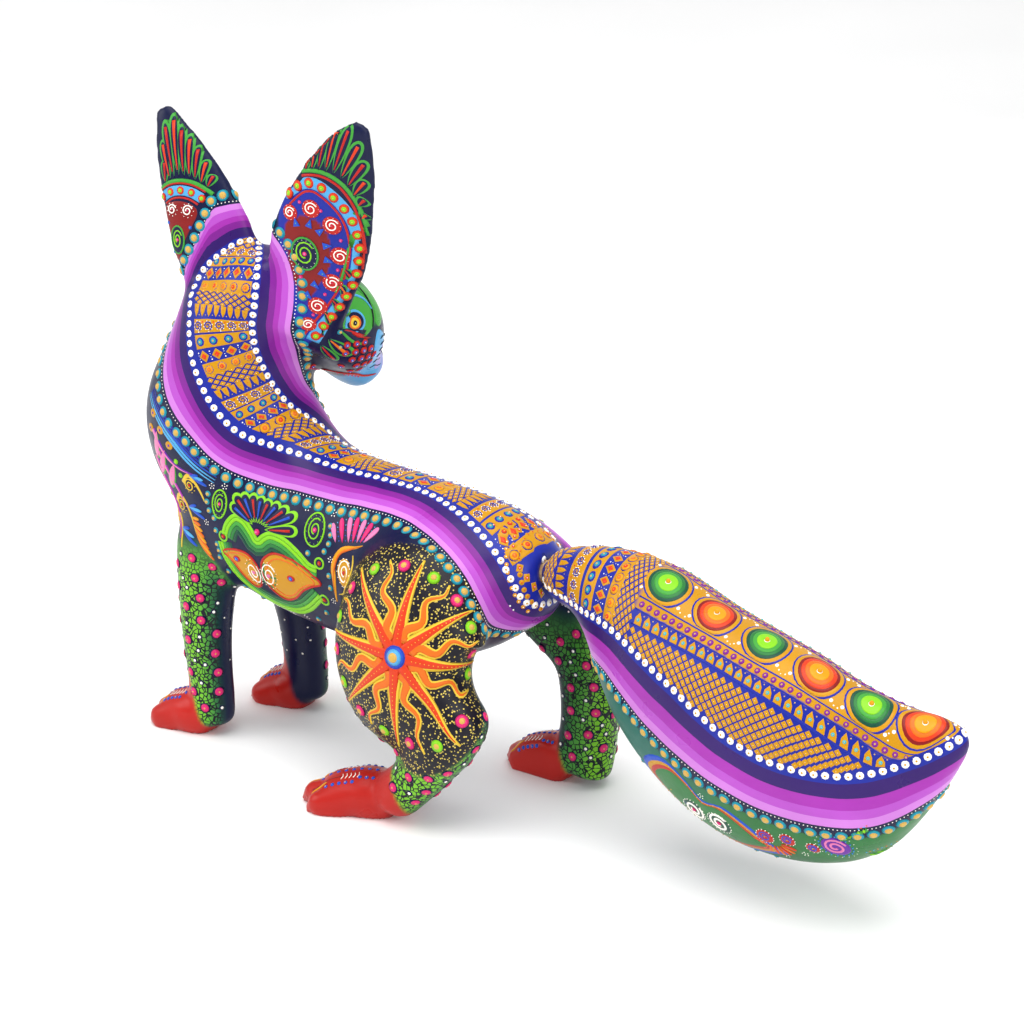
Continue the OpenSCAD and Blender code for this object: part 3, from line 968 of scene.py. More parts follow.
def row(z, length, w, kind):
    """One row of pattern: u runs -length/2 to length/2 along the back, and v from 0 to w across it."""
    half = length / 2

    def cell(u0, u1, v0, v1, colour, h=0.22):
        blob(z, [(u0, v0), (u1, v0), (u1, v1), (u0, v1)], colour, h)

    if kind == "diamond":
        n = max(int(round(w / 4.8)), 2)
        c = w / n
        for i in range(n):
            v = (i + 0.5) * c
            blob(z, [(-half * 0.92, v), (0, v - c * 0.4), (half * 0.92, v), (0, v + c * 0.4)], "ochre", 0.22)
            blob(z, [(-half * 0.5, v), (0, v - c * 0.22), (half * 0.5, v), (0, v + c * 0.22)], "redorange",
                 0.2, 0.2)
            dot(z, 0.3, v - 0.2, (0.3, "white"), h=0.45)
        for i in range(n + 1):
            for side in (-1, 1):
                dot(z, side * half * 0.62, np.clip(i * c, 0.5, w - 0.5), (0.42, "white"))
                dot(z, side * half * 0.25, np.clip(i * c, 0.4, w - 0.4), (0.28, "white"))
    elif kind == "circle":
        cell(-half, half, 0, w, "ochre", 0.18)
        r = min(half * 0.86, 2.3)
        n = max(int(w / (2 * r + 0.3)), 2)
        for i in range(n):
            v = (i + 0.5) * w / n
            dot(z, 0, v, (r, "ultramarine"), (r * 0.8, "amber"),
                (r * 0.5, "redorange" if i % 2 else "orange"),
                (0.28, "yellow"), h=0.22, base=0.14)
    elif kind == "lattice":
        m, n = max(int(round(length / 2.4)), 2), max(int(round(w / 1.7)), 4)
        cu, cv = length / m, w / n
        for i in range(m + 1):
            for j in range(n):
                u = -half + i * cu + (0 if j % 2 else cu / 2)
                if u > half:
                    continue
                v = (j + 0.5) * cv
                blob(z, [(u - cu * 0.38, v), (u, v - cv * 0.74), (u + cu * 0.38, v), (u, v + cv * 0.74)],
                     "ochre", 0.18)
                dot(z, u, v, (0.26, "white"), h=0.36)
    elif kind == "arch":
        n = max(int(round(w / 2.6)), 4)
        c = w / n
        for i in range(n):
            v = (i + 0.5) * c
            blob(z, [(-half * 0.8, v - c * 0.42), (-half * 0.8, v + c * 0.42), (half * 0.2, v + c * 0.3),
                     (half * 0.85, v), (half * 0.2, v - c * 0.3)], "ochre", 0.22)
            dot(z, -half * 0.25, v, (0.5, "redorange"), h=0.4)
            dot(z, half * 0.6, v + c / 2 if i < n - 1 else v - c / 2, (0.36, "gold"))
    elif kind == "spiral":
        cell(-half * 0.9, half * 0.9, 0, w, "ochre", 0.18)
        n = max(int(round(w / 4.4)), 2)
        c = w / n
        r = min(half * 0.85, c * 0.46)
        for i in range(n):
            v = (i + 0.5) * c
            ribbon(z, coil(0, v, r * 0.85, 1.6, 0.5, 0.2, k=10), 0.5, "ultramarine", 0.2, 0.16)
            dots_at(z, coil(0, v, r, 1.25, 0.2, 0.55, k=9), (0.27, "white"), h=0.3, base=0.2)
            dot(z, -half * 0.5, min(v + c / 2, w - 0.4), (0.5, "redorange"), h=0.3, base=0.14)
    elif kind == "ring":
        cell(-half * 0.9, half * 0.9, 0, w, "ochre", 0.18)
        r = min(half * 0.78, 2.0)
        n = max(int(w / (2 * r + 0.5)), 2)
        for i in range(n):
            dot(z, 0, (i + 0.5) * w / n, (r, "ultramarine"), (r * 0.66, "teal"), (r * 0.34, "gold"), h=0.24,
                base=0.14)


KINDS = ["spiral", "ring", "diamond", "circle", "lattice", "arch"]
MARGIN = 1.9                      # room for the beads on both edges
for k in range(35):
    length, width = row_size(k + 0.5)
    row(strip.patch(k + 0.5, MARGIN / width, 1 / length, 1 / width), length, width - 2 * MARGIN,
        "lattice" if k == 0 else KINDS[(k - 1) % 6])

# the patch round the root of the tail: rings of ochre cells, wherever they stay inside the beads
rump_way = unit((0.6, -0.12, 0.8))
rump_u = unit(np.cross((0, 1, 0), rump_way))
rump_v = np.cross(rump_way, rump_u)
rump_root = CENTRE + (22.7 - 2.0, 0, 90)
rump_zone = Zone("rump", skin, lambda u, v: skin.cast(rump_root + 60 * rump_way + u * rump_u + v * rump_v,
        -rump_way))


def inside_beads(zone, points, room=-2.2):
    for q in points:
        p = zone.at(q[0], q[1])[0]
        if band[np.argmin(((skin_v - p) ** 2).sum(1))] > room or p[0] < -19:
            return False
    return True


for ring_no, (r0, r1, number) in enumerate(((9.6, 12.6, 18), (13.2, 16.6, 20), (17.2, 20.6, 24),
        (21.2, 24.6, 28))):
    for i in range(number):
        a0, a1 = 2 * math.pi * (i + 0.08) / number, 2 * math.pi * (i + 0.92) / number
        mid = (a0 + a1) / 2
        cell = [(r * math.cos(a), r * math.sin(a)) for r,
                a in ((r0, mid), ((r0 + r1) / 2, a1), (r1, mid), ((r0 + r1) / 2, a0))]
        if ring_no % 2:
            cell = [(r * math.cos(a), r * math.sin(a)) for r, a in ((r0, a0), (r0, a1), (r1, a1), (r1, a0))]
        if not inside_beads(rump_zone, cell):
            continue
        blob(rump_zone, cell, "ochre", 0.2)
        r = (r0 + r1) / 2
        at = (r * math.cos(mid), r * math.sin(mid))
        if ring_no % 2:
            dot(rump_zone, *at, (1.2, "ultramarine"), (0.95, "redorange"), (0.4, "yellow"), h=0.25, base=0.16)
        else:
            dot(rump_zone, *at, (0.7, "redorange"), (0.28, "white"), h=0.3, base=0.15)

# ------------------------------------------------------------------ the tail
TAIL_NEAR = [(8.6, -4.4, 84.7), (18.7, -8.5, 86.6), (29.5, -14.2, 86.9), (38.6, -18.5, 87.3),
             (47.1, -21.7, 86.1),
             (54.6, -24.2, 83.5), (61.1, -26.2, 81.2), (68.1, -28.3, 78.6), (75.1, -30, 75.9), (81.4, -31.4,
                     72.8),
             (87.9, -32.3, 69.8), (94.3, -32.9, 66.9), (101.8, -33.1, 64.4), (108.4, -32.8, 62.4),
             (115.3, -32.2, 61.3), (121.8, -31.3, 60.8), (127.8, -29.7, 60.8), (133.7, -27.9, 61.2),
             (139.8, -25.7, 62.5), (145.8, -23.4, 64.7), (150, -21.6, 66.7), (155.1, -19.3, 69.1),
             (160.7, -16.5, 72.4), (165.6, -13.3, 75.9)]
TAIL_AXIS = [(1.3, 4.2, 89), (13.3, 3.2, 90), (28.3, 1.2, 90), (45.3, -0.8, 84), (67.3, -3.8, 70),
             (95.3, -5.8, 59),
             (124.3, -7.8, 58), (147.3, -8.8, 64), (163.3, -8.8, 75), (172, -8.8, 80)]
LINES = {   # points on the left side where each line of the pattern runs
    0: [(53, -9, 104.2), (60.3, -9.7, 103.2), (79.1, -11.5, 97.6), (99.3, -14.3, 93.6), (120, -17.3, 88.7),
        (137.1, -17.4, 82.5), (155, -16.1, 77.6), (165, -12, 79)],
    1: [(53.3, -16.7, 99), (80.5, -20.2, 93.5), (108.2, -24.6, 87.9), (132.2, -23.6, 79.3),
        (153.1, -19.8, 70.8),
        (165, -13, 77)],
    2: [(53.3, -19.2, 95.6), (82.4, -23.2, 90.6), (109.6, -26.9, 85), (133.1, -25, 76.2),
        (150.1, -21.4, 68.6),
        (165, -13.2, 76.4)],
    3: [(53.6, -21.5, 91), (84.3, -26.2, 87), (111.3, -29.5, 80.5), (134.3, -26.7, 70), (143.4, -24.3, 65.6),
        (155, -19.3, 69.3), (165, -13.3, 76)],
}
tail_axis = curve(TAIL_AXIS, 6)
lean = unit((0, 1, 0.3))            # the tail is rolled over to the left by this much


def axis_at(px):
    return np.array([np.interp(px, tail_axis[:, 0], tail_axis[:, i]) for i in range(3)])


def mirrored(points):
    out = []
    for p in points:
        c = axis_at(p[0])
        out.append(np.array(p) - 2 * ((np.array(p) - c) @ lean) * lean)
    return out


near_tail = settle(brush, curve(TAIL_NEAR, 3), 1)
far_tail = settle(brush, mirrored(near_tail), 1)
root = settle(brush, curve([TAIL_NEAR[0], (7.5, 0, 82), (7, 4, 80.5), (7.5, 9, 82), far_tail[0]], 4)[1:-1], 1)
tip = settle(brush, curve([near_tail[-1], (168, -9.5, 79), far_tail[-1]], 4)[1:-1], 1)
tail_loop = spaced(settle(brush, np.vstack([near_tail, tip, far_tail[::-1], root[::-1]]), 1), 2.0, True)
tail_band = loop_distance(brush, tail_loop, tail_v, 40)
top_way = unit(np.cross((1, 0, 0), lean))
c = np.array([axis_at(px) for px in tail_v[:, 0]])
rolled = (tail_v - c) @ top_way
if np.median(tail_band[(rolled > 12) & (np.abs(tail_v[:, 0] - 90) < 20)]) > 0:
    tail_band = loop_distance(brush, tail_loop[::-1], tail_v, 40)
tail_band = np.where(rolled < 0, np.maximum(np.abs(tail_band), 0), tail_band)


def roll_angle(p):
    c = axis_at(p[0])
    d = np.array(p) - c
    return math.atan2(-(d @ lean), d @ top_way)


# the stripes are wider beside the broad middle of the tail
broad = 1 + 0.28 * step(40, 70, tail_v[:, 0]) * step(165, 140, tail_v[:, 0])
tail_band = np.where(tail_band > 0, tail_band / broad, tail_band)

angles = {}
for k, line in LINES.items():
    pts = curve(line, 4)
    angles[k] = (np.array([p[0] for p in pts]), np.array([roll_angle(p) for p in pts]))
near_angle = (near_tail[:, 0], np.array([roll_angle(p) for p in near_tail]))


def line_angle(k, px):
    if k >= 4:
        return np.interp(px, *near_angle)
    xs, an = angles[k]
    edge = np.interp(px, *near_angle)
    if px < xs[0]:
        return edge * an[0] / np.interp(xs[0], *near_angle)
    return min(np.interp(px, xs, an), edge)


def tail_place(px, k):
    a = abs(k)
    lo = min(int(a), 3)
    angle = lerp(line_angle(lo, px), line_angle(lo + 1, px), a - lo)
    if k < 0:
        mid = line_angle(0, px)
        angle = mid - (angle - mid) * (np.interp(px, *near_angle) + mid) / max(np.interp(px,
                *near_angle) - mid, 1e-6)
    way = math.cos(angle) * top_way - math.sin(angle) * lean
    return brush.cast(axis_at(px), way)


tail_top = Zone("tail_top", brush, tail_place)


def across(zone, px, k0, k1, n=24):
    """Lengths across the tail between two lines, and the line number at each."""
    ks = np.linspace(k0, k1, n)
    p = np.array([zone.at(px, k)[0] for k in ks])
    return np.concatenate([[0], np.cumsum(np.linalg.norm(np.diff(p, axis=0), axis=1))]), ks


def tail_patch(px, k0, k1):
    """A patch in millimetres about x, with v running from line k0 to line k1; and how wide it is."""
    lengths, ks = across(tail_top, px, k0, k1)
    per_u = 1 / max(np.linalg.norm(tail_top.at(px + 0.5, (k0 + k1) / 2)[0]
                                   - tail_top.at(px - 0.5, (k0 + k1) / 2)[0]), 0.5)
    z = Zone("tail_top", brush, lambda u, v: tail_top.at(px + u * per_u, float(np.interp(v, lengths, ks))))
    return z.turned(0, lengths[-1] / 2), lengths[-1]


# base paint of the tail: ground colours between the lines
vx = tail_v[:, 0]
ang = np.array([roll_angle(p) for p in tail_v])
lines_at = {k: np.array([line_angle(k, px) for px in vx]) for k in range(5)}
mid = lines_at[0]
reach = np.maximum(lines_at[4] - mid, 1e-3)
far_reach = lines_at[4] + mid
flat = np.where(ang >= mid, ang - mid, (mid - ang) * reach / np.maximum(far_reach, 1e-3))
tail_k = np.select([flat < lines_at[i + 1] - mid for i in range(4)],
                   [i + (flat - (lines_at[i] - mid)) / np.maximum(lines_at[i + 1] - lines_at[i], 1e-3)
                    for i in range(4)], 4.0)
tail_area = np.tile(paint_tone("green"), (len(tail_v), 1))
under_mix = step(-40, 40, (tail_v[:, 0] - 90) + 0.6 * (tail_v[:, 2] - 40))
fill(tail_area, 0.75 * step(0.3, 0.9, 1 - under_mix), "#0f6d6c")
fill(tail_area, 0.6 * step(30, 12, tail_v[:, 2]), "darkgreen")
fill(tail_area, step(19.5, 18.6, tail_band) * (tail_band > 10), "navy")
inside = (tail_band < 0).astype(float)
fill(tail_area, inside, "ultramarine")
past = inside * step(52.6, 54, vx)
fill(tail_area, past * step(2.0, 1.9, tail_k), "ochre")
tail_fields = {"band": tail_band, "net": np.zeros(len(tail_v)), "speck": np.zeros(len(tail_v))}
tail_stripes = [(-1.9, "ultramarine"), (2.0, "indigo"), (6.0, "magenta"), (9.3, "orchid"),
                (12.3, "paleorchid"),
                (15.1, "navy"), (15.3, "navy")]
tail_mat = banded_skin("painted_tail", tail_stripes, "ultramarine")

beads("tail_beads", brush, tail_band, 0.0, 3.6, (1.45, "white"), (0.55, "ochre"), h=0.5)
beads("tail_beads", brush, tail_band, TAIL_FINE_BEADS, 1.35, (0.36, "white"), h=0.22)
beads("tail_beads", brush, tail_band, TAIL_TEAL_BEADS, 5.0, (2.3, "teal"), (1.5, "gold"), h=0.5)

# rows round the root
for px, length, kind in ((10, 7, "lattice"), (17, 6, "arch"), (24.5, 8, "spiral"), (32, 6.5, "ring"),
                         (38.2, 5.6, "diamond"), (43.4, 4.8, "circle"), (49.3, 7, "lattice")):
    z, w = tail_patch(px, -3.85, 3.85)
    row(z, length, w, kind)

# six big circles along the top
GREENS = ((9.4, "ultramarine"), (8.7, "ochre"), (7.4, "darkgreen"), (6.2, "green"), (5.0, "midgreen"),
          (3.6, "lime"))
REDS = ((9.4, "ultramarine"), (8.7, "ochre"), (7.4, "deepred"), (6.3, "redorange"), (4.9, "orange"),
        (3.4, "amber"))
for i, px in enumerate((60.3, 79.8, 99.6, 119.4, 137.4, 154.2)):
    z, w = tail_patch(px, -0.9, 0.9)
    mid_v = w / 2
    room = min(1.0, (w / 2 + 1.5) / 9.4)
    for j, (r, colour) in enumerate(GREENS if i % 2 == 0 else REDS):
        blob(z, circle(0, mid_v, r * room, 28), colour, 0.16, 0.13 * j)
    dot(z, 0, mid_v, (1.5, "white"), (0.9, "amber"), h=1.1)
    for side in (-1, 1):
        for k, c in ((9.9, 1.0), (11.6, 0.6), (13.0, 0.45)):
            for a in (38, 142):
                u, v = k * room * math.cos(math.radians(a)), side * k * room * math.sin(math.radians(a))
                if abs(v) < w / 2 - 0.3:
                    dot(z, u, mid_v + v, (c * 0.75, "white"))

for side in (1, -1):
    for k in (1.0, 2.0, 3.0):        # blue lines between the bands of pattern
        z = Zone("tail_top", brush, lambda u, v: tail_top.at(u, v * 0.1)).turned(80, side * 15)
        ribbon(z, [(px, side * k * 10) for px in np.arange(53.5, 158, 2.0)], 1.6 if k == 2 else 1.1,
               "ultramarine", 0.16)
    for px in np.arange(55.5, 157, 3.1):
        z, w = tail_patch(px, side * 1.08, side * 1.92)
        if w > 1.6:
            dot(z, 0, w / 2, (min(1.25, w * 0.42), "deepmagenta"), (0.5, "gold"), h=0.4)
    for px in np.arange(56, 156, 3.7):
        z, w = tail_patch(px, side * 2.05, side * 2.95)
        if w < 2:
            continue
        blob(z, [(-1.5, w), (-1.35, w * 0.5), (0, w * 0.04), (1.35, w * 0.5), (1.5, w)], "ochre", 0.22)
        dot(z, 0, w * 0.62, (0.95, "ultramarine"), (0.72, "aqua"), (0.3, "gold"), h=0.3)
        dot(z, 1.85, w * 0.2, (0.42, "gold"))
    for i, px in enumerate(np.arange(54.8, 160, 1.55)):
        z, w = tail_patch(px, side * 3.05, side * 4)
        w -= 1.6
        rows = int(w / 3.0)
        for j in range(rows + 1):
            v = 1.5 + 3.0 * j + (1.5 if i % 2 else 0)
            if v < w + 0.4:
                blob(z, [(-1.3, v), (0, v - 1.25), (1.3, v), (0, v + 1.25)], "ochre", 0.18)
                dot(z, 0, v, (0.28, "white"), h=0.34)

# ------------------------------------------------------------------ the sun on the thigh
sun_up = unit(np.array([0, 0, 1]) - sun_way[2] * sun_way)
sun_right = np.cross(sun_up, sun_way)


def sun_place(u, v):
    r = math.hypot(u, v)
    if r < 1e-6:
        return skin.cast(sun_heart, sun_way)
    f = r / SUN_BALL
    side = (u * sun_right + v * sun_up) / r
    return skin.cast(sun_heart, math.cos(f) * sun_way + math.sin(f) * side)


sun = Zone("thigh_sun", skin, sun_place).turned()


def polar(r, a, off=0.0):
    a = math.radians(a)
    return (r * math.cos(a) - off * math.sin(a), r * math.sin(a) + off * math.cos(a))


for i in range(8):
    a = 110.5 + 45 * i
    wave = [polar(r, a, 1.7 * math.sin((r - 6) * 0.52) * min(1, (31 - r) / 8 + 0.3)) for r in np.arange(6,
            30.6, 1.2)]
    ribbon(sun, wave, (6.0, 1.0), "yellow", 0.25)
    ribbon(sun, wave[:-1], (3.9, 0.4), "orange", 0.22, 0.22)
for i in range(8):
    a = 88 + 45 * i
    line = [polar(r, a) for r in np.arange(3, 32.1, 1.6)]
    ribbon(sun, line, (7.4, 0.9), "yellow", 0.3, 0.1)
    ribbon(sun, line[:-1], (5.0, 0.35), "redorange", 0.25, 0.34)
    for r in np.arange(6.5, 27, 1.5):
        dot(sun, *polar(r, a), (0.36, "yellow"), h=0.3, base=0.5)
for i in range(16):
    spot = polar(28.6, 99.25 + 22.5 * i)
    dot(sun, *spot, (2.5, "navy"), (2.3, "lime" if i % 2 else "hotpink"), (1.25, "gold"), h=0.42)
dot(sun, 0, 0, (4.8, "ultramarine"), (4.1, "blue"), (2.9, "sky"), (1.9, "gold"), h=0.75)

# ------------------------------------------------------------------ dots on the legs, and the paws
draw = np.random.default_rng(5)


def scattered(allowed, gap, taken, number=10 ** 6):
    """Skin points no nearer to each other, or to those taken, than gap."""
    out = []
    order = np.nonzero(allowed)[0]
    draw.shuffle(order)
    for i in order:
        p = skin_v[i]
        if all((p - q) @ (p - q) > (gap * gap if g is None else (gap / 2 + g) ** 2) for q, g in taken):
            taken.append((p, gap / 2))
            out.append(i)
            if len(out) >= number:
                break
    return out


taken = []
height = skin_v[:, 2]
on_green = (net > 0.5) & (height > 12)
for i in scattered(on_green, 7.4, taken):
    stack("leg_dots", body_names[0], skin_v[i], skin_n[i], ((2.25, "navy"), (1.7, "hotpink"), (0.6, "gold")),
          0.3)
for i in scattered(on_green, 3.6, taken):
    stack("leg_dots", body_names[0], skin_v[i], skin_n[i], ((1.25, "navy"), (0.7, "white")), 0.25)
plain_leg = np.isin(owner, (2, 3, 5)) | ((owner == 4) & (in_sun < 0.1))
dark_leg = plain_leg & (net < 0.3) & (height > 24) & (height < 70)
for i in scattered(dark_leg, 5.5, taken):
    stack("leg_dots", body_names[0], skin_v[i], skin_n[i], ((0.55, "white"),), 0.3)

PAW_PLACES = (((-120, -18), 20, 0), ((-104, 20), 18, 0), ((-24, -36), 27, 19), ((12, 25), 20, 0))
for (px, py), length, turn in PAW_PLACES:
    c, s = math.cos(math.radians(turn)), math.sin(math.radians(turn))

    def top(u, v, px=px, py=py, c=c, s=s):
        at = (px + CENTRE[0] + u * c - v * s, py + CENTRE[1] + u * s + v * c, 22)
        return skin.cast(at, (0, 0, -1))

    paw_zone = Zone("paws", skin, top).turned(-6, 0)
    for row_v in (-6.5, 0, 6.5):
        reach = -length * (0.62 if row_v == 0 else 0.5)
        for j, u in enumerate(np.linspace(3.5, reach, 8)):
            dot(paw_zone, u, row_v * (0.75 if j < 3 else 1), (0.85, "blue"),
                *(((0.4, "gold"),) if j % 3 == 1 else ()), h=0.4)
        tip = -length * (0.86 if row_v == 0 else 0.72)
        ribbon(paw_zone, curve([(tip + 5.5, row_v + 2.1), (tip + 2.5, row_v + 1.6), (tip, row_v + 1.2)], 3),
               1.3, "amber", 0.3,
               taper=0.35)
    for gap_v in (-3.7, 3.7):
        ribbon(paw_zone, [(u, gap_v) for u in np.linspace(-0.32 * length, -0.72 * length, 8)], 0.7,
               "deepred", 0.12)
        for j in range(5):
            u = -2 - 1.5 * j
            ribbon(paw_zone, [(u - 0.4, gap_v - 1.2), (u, gap_v), (u - 0.4, gap_v + 1.2)], 0.35, "white", 0.2)

# ------------------------------------------------------------------ flank and shoulder, seen from the side
def beside(way):
    return lambda u, v: skin.cast((u, 4.2 - 100 * way, v), (0, way, 0))


def offset(path, by):
    p = np.array(path, float)
    d = np.gradient(p, axis=0)
    n = np.stack([-d[:, 1], d[:, 0]], 1)
    return p + by * n / np.maximum(np.linalg.norm(n, axis=1), 1e-9)[:, None]


def dotted_spiral(z, u, v, r, tall=1.3, turn=0.0, line="white", ground="green", eye="pink", hand=1):
    blob(z, circle(u, v, r * 1.12, 18, 0, tall, turn), ground, 0.2)
    ribbon(z, coil(u, v, r, 1.7, 0.6, 0.25, tall, turn, hand=hand), 0.55, line, 0.25, 0.2)
    dots_at(z, circle(u, v, r * 1.08, int(r * 4.2), 0, tall, turn), (0.36, line), h=0.45)
    dot(z, u, v, (r * 0.3, eye), h=0.6)


def wheel(z, u, v, r, tall, turn=0.0):
    """A lime wheel: rim, spokes of dots and a pink eye."""
    blob(z, circle(u, v, r, 20, 0, tall, turn), "navy", 0.15)
    ring(z, u, v, r, 0.7, "lime", 22, tall, turn, 0.25, 0.1)
    ribbon(z, coil(u, v, r * 0.72, 1.6, 1.0, 0.3, tall, turn), 0.6, "lime", 0.25, 0.1)
    dots_at(z, circle(u, v, r * 0.84, 12, 0.2, tall, turn), (0.33, "lime"), h=0.42)
    dot(z, u, v, (r * 0.3, "hotpink"), (r * 0.14, "pink"), h=0.35)


def flank(z):
    up = curve([(-117, 85.5), (-115.2, 90), (-111.5, 93.5), (-107, 92.8), (-103, 89.3), (-100.8, 86.8),
                (-98.5, 88.6),
                (-95, 90.2), (-89, 89.2), (-83, 86), (-78, 82.4), (-74.5, 81.8)], 4)
    low = curve([(-119.5, 82), (-118, 74), (-114, 66.5), (-107.5, 61.5), (-99, 58.5), (-90, 58.8),
                 (-82, 62.5),
                 (-76, 67.5), (-73.5, 70)], 4)
    for i, colour in enumerate(("lime", "lime", "midgreen", "green", "darkgreen")):
        ribbon(z, offset(up, -1.45 * i), 1.7, colour, 0.16 + 0.02 * (5 - i))
        ribbon(z, offset(low, 1.45 * i), 1.7, colour, 0.16 + 0.02 * (5 - i))
    for line, at in ((up, (-73.4, 83.6)), (low, (-72.6, 69.6))):
        ring(z, at[0], at[1], 1.9, 0.9, "lime", 16)
        dot(z, at[0], at[1], (1.0, "red"), (0.4, "gold"))
    ring(z, -117, 84.5, 1.8, 0.9, "lime", 16)
    dot(z, -117, 84.5, (1.0, "red"), (0.4, "gold"))
    # two paisleys back to back
    for line in ([(-118, 78.5), (-112, 80.5), (-105.5, 80), (-101.5, 75.5), (-102, 69), (-106, 66.5),
                  (-110.5, 70),
                  (-114, 75)],
                 [(-73, 76), (-79, 80), (-86, 82.6), (-94, 83), (-99.5, 78), (-98.5, 69.5), (-93, 65),
                  (-87, 66.5),
                  (-82, 71), (-77.5, 73.8)]):
        shape = curve(line, 4, True)
        blob(z, shape, "ochre", 0.2)
        ribbon(z, shape, 1.0, "red", 0.25, 0.15, closed=True)
        inner = shape + 0.2 * (shape.mean(0) - shape)
        ribbon(z, inner, 0.7, "orange", 0.2, 0.2, closed=True)
    dotted_spiral(z, -104.2, 73.2, 3.3, 1.45, 0.2, hand=-1)
    dotted_spiral(z, -97, 73.6, 3.6, 1.4, -0.15)
    for u, v in ((-111.5, 77), (-86.5, 75)):
        blob(z, circle(u, v, 1.8, 14, 0, 0.7), "red", 0.25, 0.2)
        dot(z, u, v, (1.25, "blue"), (0.5, "sky"), h=0.7)
    # the fan of feathers over the cleft
    tips = [(-114, 97.5), (-113, 101), (-109.6, 102), (-105.5, 102.4), (-101.5, 102.2), (-97.5, 101.6),
            (-93.2, 101),
            (-89, 100), (-84.8, 98.3), (-83.5, 92.8)]
    for i, tip in enumerate(tips):
        root = np.array((-100.8, 90.2)) + 0.16 * (np.array(tip) - (-100.8, 88))
        petal(z, root, tip, 4.3, "lime", 0.22, 0, 0.8, 9)
        inner = np.array(tip) - 0.09 * (np.array(tip) - root)
        petal(z, root + 0.05 * (np.array(tip) - root), inner, 3.2, "navy", 0.2, 0.14, 0.8, 9)
        a, b = root + 0.2 * (inner - root), root + 0.85 * (inner - root)
        ribbon(z, [lerp(a, b, t) for t in np.linspace(0, 1, 5)], (0.5, 1.3), "red" if i % 2 else "blue", 0.2,
               0.32)
        for t in np.linspace(0.3, 0.95, 4):
            dot(z, *lerp(a, b, t), (0.3, "gold"), h=0.6)
    dot(z, -100.8, 89.6, (1.5, "navy"), (1.2, "hotpink"), (0.5, "pink"), h=0.5)
    wheel(z, -118.4, 96.3, 3.0, 1.75, -0.1)
    wheel(z, -76.8, 94.6, 4.0, 1.4, 0.0)
    dots_at(z, ((-121, 90.6), (-120.4, 86), (-120.8, 80.5), (-121, 75), (-119.5, 69), (-115.5, 62.6),
                (-110, 58.5), (-78.5, 86.3), (-71.5, 88.3), (-70, 91.2), (-69.8, 94.2), (-70.6, 97),
                (-68.6, 75.5), (-69, 80), (-73.5, 64), (-80, 59)), (1.35, "teal"), (0.75, "gold"), h=0.45)
    flowers(z, ((-116.5, 103), (-121.5, 102.5), (-82, 101), (-71, 101), (-68.5, 86), (-125, 88),
                (-103, 57.5), (-95, 56.5), (-68, 70.5), (-87, 57.5)), 0.95)
    # strokes of pink and blue beside the thigh
    outer = [(-70, 98.2), (-67, 100.3), (-63.6, 101.4), (-60.5, 101.6), (-57.2, 101.5), (-53.8, 101),
             (-50.3, 100.2)]
    inner = [(-67, 92.2), (-64, 92.6), (-61.5, 93.2), (-59.6, 93.6), (-57.8, 94), (-56.2, 94.4),
             (-54.8, 94.8)]
    for i, (a, b) in enumerate(zip(outer, inner)):
        a, b = np.array(a), np.array(b)
        petal(z, b, a, 1.9, "pink" if i % 2 == 0 else "hotpink", 0.3, 0, 0.75)
        nxt = (np.array(outer[min(i + 1, 6)]) + a) / 2
        for t in np.linspace(0.1, 0.9, 5):
            dot(z, *lerp((b + np.array(inner[min(i + 1, 6)])) / 2, nxt, t),
                (0.42, "sky" if t > 0.5 else "blue"))
    # a yellow bird curled round a spiral
    ribbon(z, curve([(-54.5, 94), (-58, 92.5), (-64, 90.5), (-67, 85), (-66.5, 79), (-66, 71)], 4),
           (1.0, 3.2), "amber", 0.25,
           taper=0.3)
    ribbon(z, curve([(-55.5, 93.4), (-60, 91.5), (-64.8, 88.5), (-66.6, 82), (-66.2, 74)], 4), 0.8, "orange",
           0.2, 0.2,
           taper=0.3)
    dotted_spiral(z, -61.2, 83.2, 3.4, 1.3, 0.1, "white", "ochre", "red")
    ribbon(z, curve([(-58, 90), (-56.5, 86), (-56.8, 81), (-60, 76.5), (-64, 74.5)], 4), 1.1, "yellow", 0.25,
           0.1, taper=0.4)


